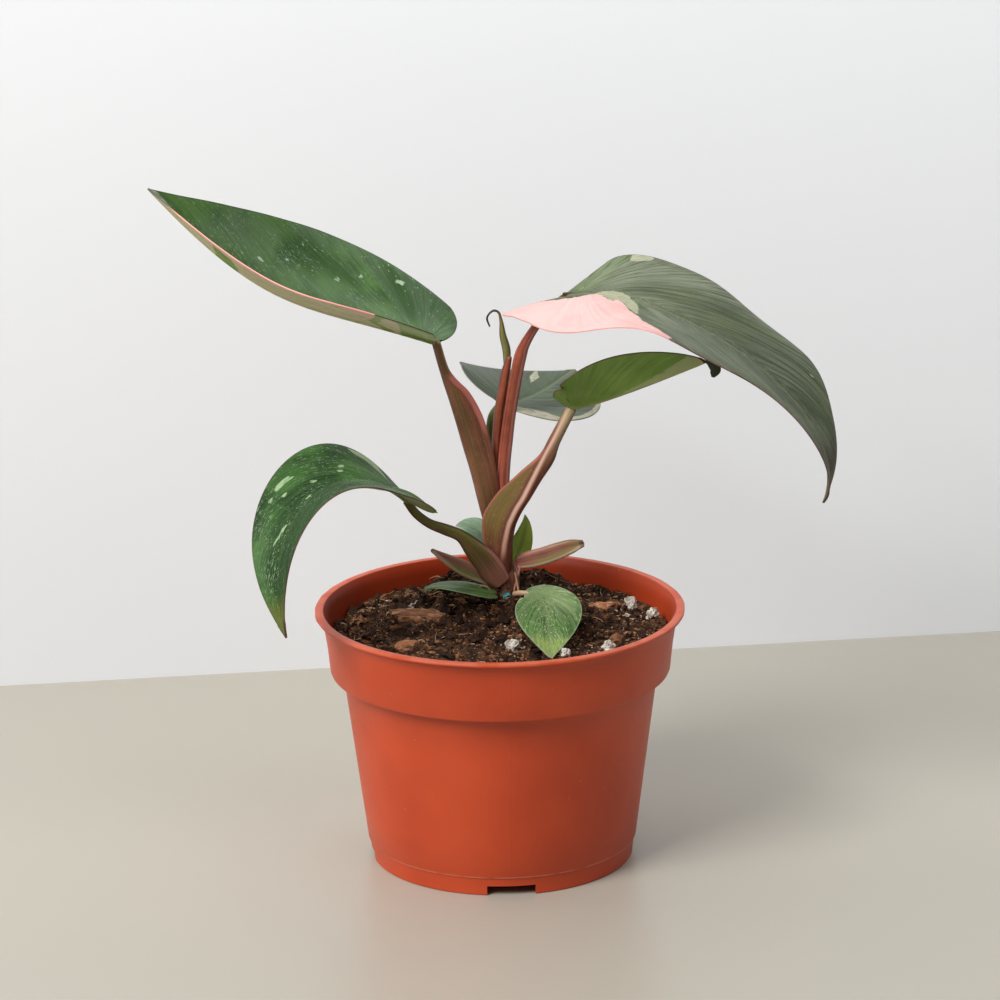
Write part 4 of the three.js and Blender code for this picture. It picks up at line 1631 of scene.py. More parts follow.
@dataclass
class PottingMix:
    """The soil in the pot, its crumbs, clumps and fibres."""

    edge_level: float = 67.5
    mound: Heap = (2, 12, 8.5, 17)
    hollow: Heap = (-4, -9, 2.6, 8)
    heaps: tuple[Heap, ...] = (
        (0.5, 7.6, 2.4, 2.8),  # against the stem
        (2.4, 0.9, 3.1, 2.1),  # round the bead
        (-15, 20, 6.2, 7.5),  # behind the plant
        (11, 22, 5.2, 7.5),
    )
    radius: float = 48.9
    rings: int = 110
    segments: int = 300
    crumbs: int = 8600
    clumps: int = 520
    fibres: int = 1500
    grit_near: int = 9
    grit_far: int = 60
    seed: int = 11
    skirt: tuple[Spot, ...] = ((9, 0.97), (3, 0.93), (50, 0.86))  # steps down, and in by a share
    crumb_reach: float = 48.6
    grit_reach: float = 46.8
    grit_spread: float = 45
    fibre_reach: float = 47.5

    def heap(self, form: Heap, x: float, y: float) -> float:
        """Give a round heap's height at a place.

        Args:
            form: the heap.
            x: the place, to the right of the pot's axis.
            y: the place, behind the pot's axis.

        Returns:
            The height to add, in millimetres.
        """
        px, py, rise, wide = form
        return rise * math.exp(-((x - px) ** 2 + (y - py) ** 2) / (2 * wide**2))

    def level(self, x: float, y: float) -> float:
        """Give the lumpy surface's height at a place.

        Args:
            x: the place, to the right of the pot's axis.
            y: the place, behind the pot's axis.

        Returns:
            The height above the table, in millimetres.
        """
        heaped = sum(self.heap(form, x, y) for form in self.heaps)
        lumps = math.sin(0.41 * x + 1.3) * math.sin(0.37 * y - 0.6)
        lumps += 0.7 * math.sin(0.83 * x - 0.52 * y + 2.1) * math.cos(0.71 * y + 0.4 * x)
        lumps += 0.5 * math.sin(1.27 * x + 0.9) * math.sin(1.43 * y + 2.7)
        mounded = self.edge_level + self.heap(self.mound, x, y) - self.heap(self.hollow, x, y)
        return mounded + heaped + lumps

    def crumbled(self, x: float, y: float) -> float:
        """Give the finer crumbs' height above the lumpy surface.

        Args:
            x: the place, to the right of the pot's axis.
            y: the place, behind the pot's axis.

        Returns:
            The height to add, in millimetres.
        """
        spot = Vector((x, y, 0))
        coarse = noise.noise(spot * 0.3 + Vector((5, 2, 1)))
        clods = noise.voronoi(spot * 0.4)[0][0]
        small = noise.voronoi(spot * 1.1 + Vector((3, 1, 0)))[0][0]
        fine = noise.fractal(spot * 1.5, 0.6, 2.1, 4)
        return 0.7 * coarse + 0.9 * (0.45 - clods) + 0.6 * (0.4 - small) + 0.4 * fine

    def bed(self) -> bpy.types.Object:
        """Make the solid body of the mix.

        Returns:
            The body, with a shade for each vertex that is darker in the hollows (painted shade).
        """
        Bench.clear()
        step = self.radius / self.rings
        bpy.ops.mesh.primitive_circle_add(
            vertices=self.segments, radius=step * MM, fill_type="TRIFAN", location=(0, 0, 0)
        )
        item = Bench.named("potting_mix")
        with Bench.edit(item):
            bpy.ops.mesh.select_all(action="SELECT")
            bpy.ops.mesh.region_to_loop()
            for ring in range(2, self.rings + 1):
                share = ring / (ring - 1)
                bpy.ops.mesh.extrude_edges_move()
                bpy.ops.transform.resize(value=(share, share, 1), center_override=(0, 0, 0))
            low = 0
            for drop, share in self.skirt:
                low -= drop
                bpy.ops.mesh.extrude_edges_move(
                    TRANSFORM_OT_translate={"value": (0, 0, -drop * MM)}
                )
                bpy.ops.transform.resize(value=(share, share, 1), center_override=(0, 0, low * MM))
            bpy.ops.mesh.edge_face_add()
            bpy.ops.mesh.select_all(action="SELECT")
            bpy.ops.mesh.normals_make_consistent(inside=False)
        places = Bench.points(item) / MM
        # Each vertex's shade: lighter where the crumbs rise, darker in the hollows, which is
        # painted shade.
        depth = np.full(len(places), 0.5)
        for number, place in enumerate(places):
            x, y, z = place
            if z > -1:
                fade = min(1.0, (self.radius - math.hypot(x, y)) / 2)
                rise = self.crumbled(x, y) * (0.35 + 0.65 * fade)
                place[2] = self.level(x, y) + rise
                depth[number] = 0.5 + 0.3 * rise
            else:
                place[2] = self.edge_level + z
        Bench.place(item, places * MM)
        Bench.note(item, "shade", depth)
        return item

    def lump(self, number: int, finer: int, chance: random.Random) -> bpy.types.Object:
        """Model one angular crumb of about one millimetre.

        Args:
            number: its number.
            finer: how finely its ball is divided.
            chance: the random draws.

        Returns:
            The crumb.
        """
        Bench.clear()
        bpy.ops.mesh.primitive_ico_sphere_add(subdivisions=finer, radius=1, location=(0, 0, 0))
        item = Bench.named(f"crumb_{number}")
        drift = Vector([chance.uniform(0, 50) for _ in range(3)])
        places = Bench.points(item)
        for place in places:
            rough = noise.noise(Vector(place) * 1.7 + drift)
            place *= 0.8 + 0.9 * rough + chance.uniform(-0.2, 0.2)
        Bench.place(item, places)
        return item

    def scatter(
        self, name: str, count: int, finer: int, sizes: Spot, taken: Sequence[Point]
    ) -> bpy.types.Object:
        """Strew crumbs over the surface.

        Args:
            name: the piece's name.
            count: how many there are.
            finer: how finely each is divided.
            sizes: the smallest and largest radius.
            taken: places where none lie: x, y and radius.

        Returns:
            All the crumbs in one object.
        """
        chance = random.Random(self.seed + finer)
        forms = [self.lump(i, finer, chance) for i in range(9)]
        low, high = sizes
        stands = []
        while len(stands) < count:
            x, y = (chance.uniform(-self.crumb_reach, self.crumb_reach) for _ in range(2))
            size = low + (high - low) * chance.random() ** 2.2
            outside = math.hypot(x, y) > self.crumb_reach - size
            if outside or any(math.hypot(x - a, y - b) < r for a, b, r in taken):
                continue
            z = self.level(x, y) + self.crumbled(x, y) + size * chance.uniform(-0.3, 0.5)
            turn = tumble(chance, 0, FULL_TURN, "X")
            long = size * chance.choice((0.9, 1.2, 2.1))
            wide, thick = size * chance.uniform(0.6, 1), size * chance.uniform(0.45, 0.9)
            scale = Matrix.Diagonal((long, wide, thick, 1))
            stand = Matrix.Translation((x, y, z)) @ turn @ scale
            stands.append((chance.randrange(len(forms)), stand, chance.random() ** 1.6))
        return Bench.copies(name, forms, stands)

    def grit(self) -> bpy.types.Object:
        """Strew crushed perlite round the larger grains, and a little everywhere.

        Returns:
            All the grit in one object.
        """
        chance = random.Random(self.seed + 5)
        forms = [self.lump(20 + i, 1, chance) for i in range(5)]
        stands = []
        for x, y, _, radius in GRAINS:
            for _ in range(self.grit_near):
                turn = chance.uniform(0, FULL_TURN)
                reach = radius + 0.5 + 5 * chance.random() ** 2
                stands.append((x + reach * math.cos(turn), y + reach * math.sin(turn)))
        for _ in range(self.grit_far):
            turn = chance.uniform(0, FULL_TURN)
            reach = self.grit_spread * math.sqrt(chance.random())
            stands.append((reach * math.cos(turn), reach * math.sin(turn)))
        copies = []
        for x, y in stands:
            if math.hypot(x, y) < self.grit_reach:
                size = 0.22 + 0.75 * chance.random() ** 3
                z = self.level(x, y) + self.crumbled(x, y) + 0.35 + 0.3 * size
                spin = tumble(chance, 0, 3, "X")
                long, thick = size * chance.uniform(0.8, 1.5), size * chance.uniform(0.5, 0.9)
                shape = Matrix.Diagonal((long, size, thick, 1))
                stand = Matrix.Translation((x, y, z)) @ spin @ shape
                copies.append((chance.randrange(len(forms)), stand, chance.random()))
        return Bench.copies("mix_grit", forms, copies)

    def strand(self, number: int, chance: random.Random) -> bpy.types.Object:
        """Model one bent fibre along X, one unit long.

        Args:
            number: its number.
            chance: the random draws.

        Returns:
            The fibre.
        """
        Bench.clear()
        bpy.ops.mesh.primitive_cylinder_add(
            vertices=3, radius=0.5, depth=1, location=(0, 0, 0), rotation=(0, math.pi / 2, 0)
        )
        item = Bench.named(f"fibre_{number}")
        bpy.ops.object.transform_apply(location=True, rotation=True, scale=True)
        with Bench.edit(item, "EDGE"):
            bpy.ops.mesh.select_all(action="DESELECT")
        ends = Bench.points(item)[:, 0]
        for line in item.data.edges:
            line.select = bool(abs(ends[line.vertices[0]] - ends[line.vertices[1]]) > 0.5)
        with Bench.edit(item, "EDGE"):
            bpy.ops.mesh.subdivide(number_cuts=5)
        places = Bench.points(item)
        bend, wave = chance.uniform(-0.4, 0.4), chance.uniform(-0.15, 0.15)
        along = places[:, 0].copy()
        lift = 1 - 4 * along**2
        places[:, 1:] *= (1 - 0.7 * np.abs(2 * along) ** 3)[:, None]
        places[:, 1] += 14 * (bend * lift + wave * np.sin(along * 9))
        places[:, 2] += 4 * lift * chance.uniform(0, 0.6)
        Bench.place(item, places)
        return item

    def strands(self) -> bpy.types.Object:
        """Strew thin fibres and rootlets over the surface.

        Returns:
            All the fibres in one object.
        """
        chance = random.Random(self.seed + 1)
        forms = [self.strand(number, chance) for number in range(8)]
        stands = []
        for _ in range(self.fibres):
            reach = self.fibre_reach * math.sqrt(chance.random())
            turn = chance.uniform(0, FULL_TURN)
            x, y = reach * math.cos(turn), reach * math.sin(turn)
            long, thick = 1.2 + 4.5 * chance.random() ** 2, chance.uniform(0.12, 0.3)
            z = self.level(x, y) + self.crumbled(x, y) + 0.25
            scale = Matrix.Diagonal((long, thick, thick, 1))
            heading = tumble(chance, -0.5, 0.5, "Y")
            stand = Matrix.Translation((x, y, z)) @ heading @ scale
            stands.append((chance.randrange(len(forms)), stand, chance.random() ** 1.5))
        return Bench.copies("mix_fibres", forms, stands)

    def build(self) -> None:
        """Make the bed, the crumbs, the clumps and the fibres."""
        taken = [(c.at[0], c.at[1], 0.4 * c.size[0]) for c in CHIPS]
        taken += [(x, y, 0.4 * r) for x, y, _, r in GRAINS]
        item = self.bed()
        Bench.smooth(item, 40)
        soil = CrumbFinish("peat_mix", tint("24160e"), tint("714c34"))
        Bench.dress(item, [soil.make()], "soil", ["soil"])
        crumb = CrumbFinish("peat_crumbs", tint("271710"), tint("a87851"))
        crumbs = self.scatter("mix_crumbs", self.crumbs, 1, (0.18, 0.72), taken)
        Bench.dress(crumbs, [crumb.make()], "soil")
        clod = CrumbFinish("peat_clumps", tint("2a1a11"), tint("855b3f"), grain=900, depth=0.5)
        clumps = self.scatter("mix_clumps", self.clumps, 2, (0.7, 1.9), taken)
        Bench.dress(clumps, [clod.make()], "soil")
        Bench.dress(self.grit(), [PerliteFinish("perlite_grit").make()], "perlite")
        fibres = self.strands()
        Bench.smooth(fibres, 80)
        strand = CrumbFinish("peat_fibres", tint("3d2417"), tint("d6ac82"), grain=600, depth=0.05)
        Bench.dress(fibres, [strand.make()], "soil")


@dataclass(frozen=True)
class Chip:
    """A flake of bark on the mix."""

    at: Point
    size: Point
    turn: float
    tilt: float

    def build(self, number: int, finish: BarkFinish) -> None:
        """Make the chip.

        Args:
            number: its number, from 1.
            finish: what it is made of.
        """
        Bench.clear()
        bpy.ops.mesh.primitive_cube_add(size=1, location=(0, 0, 0), scale=self.size)
        item = Bench.named(f"bark_flake_{number}")
        bpy.ops.object.transform_apply(location=True, rotation=True, scale=True)
        with Bench.edit(item):
            bpy.ops.mesh.select_all(action="SELECT")
            bpy.ops.mesh.bevel(offset=0.6, segments=2, affect="EDGES")
            bpy.ops.mesh.select_all(action="SELECT")
            bpy.ops.mesh.subdivide(number_cuts=14)
        places = Bench.points(item)
        rest = places.copy()
        long, wide, thick = self.size
        drift = 13.7 * number
        for place, (x, y, z) in zip(places, rest):
            broken = noise.noise(Vector((drift, y * 1.3, 0)))
            ends = 1 - 0.42 * (2 * abs(y) / wide) ** 2 - 0.2 * broken
            worn = noise.noise(Vector((x * 0.35, drift, np.sign(y))))
            waist = 1 - 0.35 * (2 * abs(x) / long) ** 2 - 0.35 * worn
            ridges = 0.28 * noise.fractal(Vector((x * 0.18, y * 1.3, z + drift)), 0.8, 2, 4)
            place[0] = x * ends
            place[1] = y * waist
            taper = 1 - 0.5 * (2 * x / long) ** 4
            crown = 0.25 * thick * (1 - (2 * y / wide) ** 2)
            place[2] = z * taper + np.sign(z) * ridges + crown
        heading = Matrix.Rotation(math.radians(self.turn), 3, "Z")
        turn = heading @ Matrix.Rotation(math.radians(self.tilt), 3, "X")
        Bench.note(item, "chip", rest + drift)
        Bench.place(item, (places @ np.array(turn).T + np.array(self.at)) * MM)
        Bench.smooth(item, 70)
        Bench.dress(item, [finish.make()], "bark", [f"bark_chip_{number}"])


CHIPS = (
    Chip((-23, 5, 70.2), (18, 8, 2.6), -14, 10),
    Chip((30.5, 14, 69.6), (10, 6, 2.2), 18, -8),
    Chip((-27, -17, 68.6), (8, 5, 2), 32, 5),
)
GRAINS = (
    (-24.6, 14, 70.4, 2.2), (3.4, -19, 69, 2.3), (18.4, -27, 69, 1.9), (31.4, -21, 69, 2.2),
    (45, 8, 69.6, 1.9), (38.6, 15, 70.2, 2.1),
)


@dataclass
class LooseBits:
    """Bark chips, perlite grains and a fertiliser bead."""

    prill: tuple[float, float, float, float] = (2.2, 3.2, 76.9, 1.3)

    def grain(
        self, number: int, at: Sequence[float], radius: float, material: bpy.types.Material
    ) -> None:
        """Make one pitted perlite grain.

        Args:
            number: its number, from 1.
            at: its middle.
            radius: its size.
            material: its material.
        """
        Bench.clear()
        bpy.ops.mesh.primitive_ico_sphere_add(subdivisions=5, radius=1, location=(0, 0, 0))
        item = Bench.named(f"perlite_lump_{number}")
        places = Bench.points(item)
        drift = Vector((7.3 * number, 2.1, 5.5))
        for place in places:
            spot = Vector(place)
            big = 0.5 * noise.noise(spot * 1.3 + drift)
            pits = 0.3 * (noise.voronoi(spot * 2.4 + drift)[0][0] - 0.35)
            place *= radius * (0.86 + big + pits)
        Bench.place(item, (places + np.array(at)) * MM)
        Bench.smooth(item, 80)
        Bench.dress(item, [material], "perlite", [f"perlite_grain_{number}"])

    def build(self) -> None:
        """Make every bit."""
        for number, chip in enumerate(CHIPS, 1):
            chip.build(number, BarkFinish())
        white = PerliteFinish().make()
        for number, (*at, radius) in enumerate(GRAINS, 1):
            self.grain(number, at, radius, white)
        *at, radius = self.prill
        Bench.clear()
        bpy.ops.mesh.primitive_ico_sphere_add(
            subdivisions=4, radius=radius * MM, location=(0, 0, 0)
        )
        item = Bench.named("fertiliser_bead")
        places = Bench.points(item) / MM
        for place in places:
            place *= 1 + 0.05 * noise.noise(Vector(place) * 1.2)
        Bench.place(item, (places + np.array(at)) * MM)
        Bench.smooth(item)
        Bench.dress(item, [PrillFinish().make()], "prill", ["fertiliser_prill"])


# ---------------------------------------------------------------- studio


@dataclass(frozen=True)
class Lamp:
    """A soft rectangular lamp."""

    name: str
    at: Point
    aim: Point
    size: Spot
    power: float  # watts
    colour: Colour

    def build(self) -> None:
        """Add the lamp."""
        light = bpy.data.lights.new(self.name, "AREA")
        light.shape = "RECTANGLE"
        light.size, light.size_y = self.size[0] * MM, self.size[1] * MM
        light.energy = self.power
        light.color = self.colour[:3]
        item = bpy.data.objects.new(self.name, light)
        bpy.context.scene.collection.objects.link(item)
        item.location = Vector(self.at) * MM
        way = Vector(self.aim) - Vector(self.at)
        item.rotation_euler = way.to_track_quat("-Z", "Y").to_euler()


LAMPS = (
    Lamp("key", (-1311, -1357, 1720), (0, 0, 80), (1100, 1100), 66.5, tint("fffefc")),
    Lamp("fill", (500, -700, 1200), (0, 0, 90), (700, 700), 4, tint("f6f8ff")),
    Lamp("wash", (0, -60, 560), (0, 190, 520), (1200, 200), 1.8, tint("ffffff")),
)


@dataclass
class Studio:
    """The table, the wall, the lamps and the camera."""

    camera_at: Point = (0.436, -1155.1, 442.84)
    tilt: float = 16.2  # degrees below the horizon
    roll: float = 0.658
    lens: float = 149.82
    sensor: float = 36
    clip: Spot = (0.05, 50)  # metres
    table: Spot = (6000, 6000)
    table_level: float = -0.02
    wall: Spot = (6000, 3000)
    wall_line: tuple[Spot, Spot] = ((-166.2, 154.7), (171.2, 201.2))
    ambient: float = 0.17

    def slab(self, name: str, size: Spot, place: Matrix, finish: BackdropFinish) -> None:
        """Add a plane of the stage.

        Args:
            name: its name.
            size: its width and depth, in millimetres.
            place: where it stands, in metres.
            finish: its finish.
        """
        Bench.clear()
        bpy.ops.mesh.primitive_plane_add(size=1, location=(0, 0, 0))
        item = Bench.named(name)
        with Bench.edit(item):
            bpy.ops.mesh.select_all(action="SELECT")
            bpy.ops.mesh.subdivide(number_cuts=6)
        item.data.transform(place @ Matrix.Diagonal((size[0] * MM, size[1] * MM, 1, 1)))
        item.data.materials.append(finish.make())

    def camera(self) -> None:
        """Add the camera."""
        data = bpy.data.cameras.new("camera")
        data.lens = self.lens
        data.sensor_width = self.sensor
        data.clip_start, data.clip_end = self.clip
        item = bpy.data.objects.new("camera", data)
        bpy.context.scene.collection.objects.link(item)
        tilt, roll = math.radians(self.tilt), math.radians(self.roll)
        ahead = Vector((0, math.cos(tilt), -math.sin(tilt)))
        level, above = Vector((1, 0, 0)), Vector((0, math.sin(tilt), math.cos(tilt)))
        right = level * math.cos(roll) - above * math.sin(roll)
        up = level * math.sin(roll) + above * math.cos(roll)
        turn = Matrix((right, up, -ahead)).transposed().to_4x4()
        item.matrix_world = Matrix.Translation(Vector(self.camera_at) * MM) @ turn
        bpy.context.scene.camera = item

    def build(self) -> None:
        """Set up the stage."""
        scene = bpy.context.scene
        scene.view_settings.view_transform = "Standard"
        world = bpy.data.worlds.new("studio")
        world.use_nodes = True
        sky = world.node_tree.nodes["Background"]
        sky.inputs["Color"].default_value = tint("e9ebee")
        sky.inputs["Strength"].default_value = self.ambient
        scene.world = world
        floor = BackdropFinish("table_top", tint("afaa9d"), tint("ada89b"), 0.34)
        self.slab("table", self.table, Matrix.Translation((0, 0, self.table_level * MM)), floor)
        (x0, y0), (x1, y1) = self.wall_line
        turn = math.atan2(y1 - y0, x1 - x0)
        middle = ((x0 + x1) / 2 * MM, (y0 + y1) / 2 * MM, self.wall[1] / 2 * MM)
        place = Matrix.Translation(middle)
        upright = place @ Matrix.Rotation(turn, 4, "Z") @ Matrix.Rotation(math.pi / 2, 4, "X")
        wall = BackdropFinish("wall_paint", tint("e4e6e9"), tint("e3e5e8"), 0.7, one_sided=True)
        self.slab("wall", self.wall, upright, wall)
        for lamp in LAMPS:
            lamp.build()
        self.camera()


# ---------------------------------------------------------------- the plant


@dataclass
class Plant:
    """The philodendron itself."""

    stalks: tuple[Stalk, ...]
    blades: tuple[Blade, ...]

    def build(self) -> None:
        """Make every stalk and blade."""
        for stalk in self.stalks:
            stalk.build()
        for blade in self.blades:
            blade.build()


GOLD = tint("bd7e44")  # the stalks' speckles

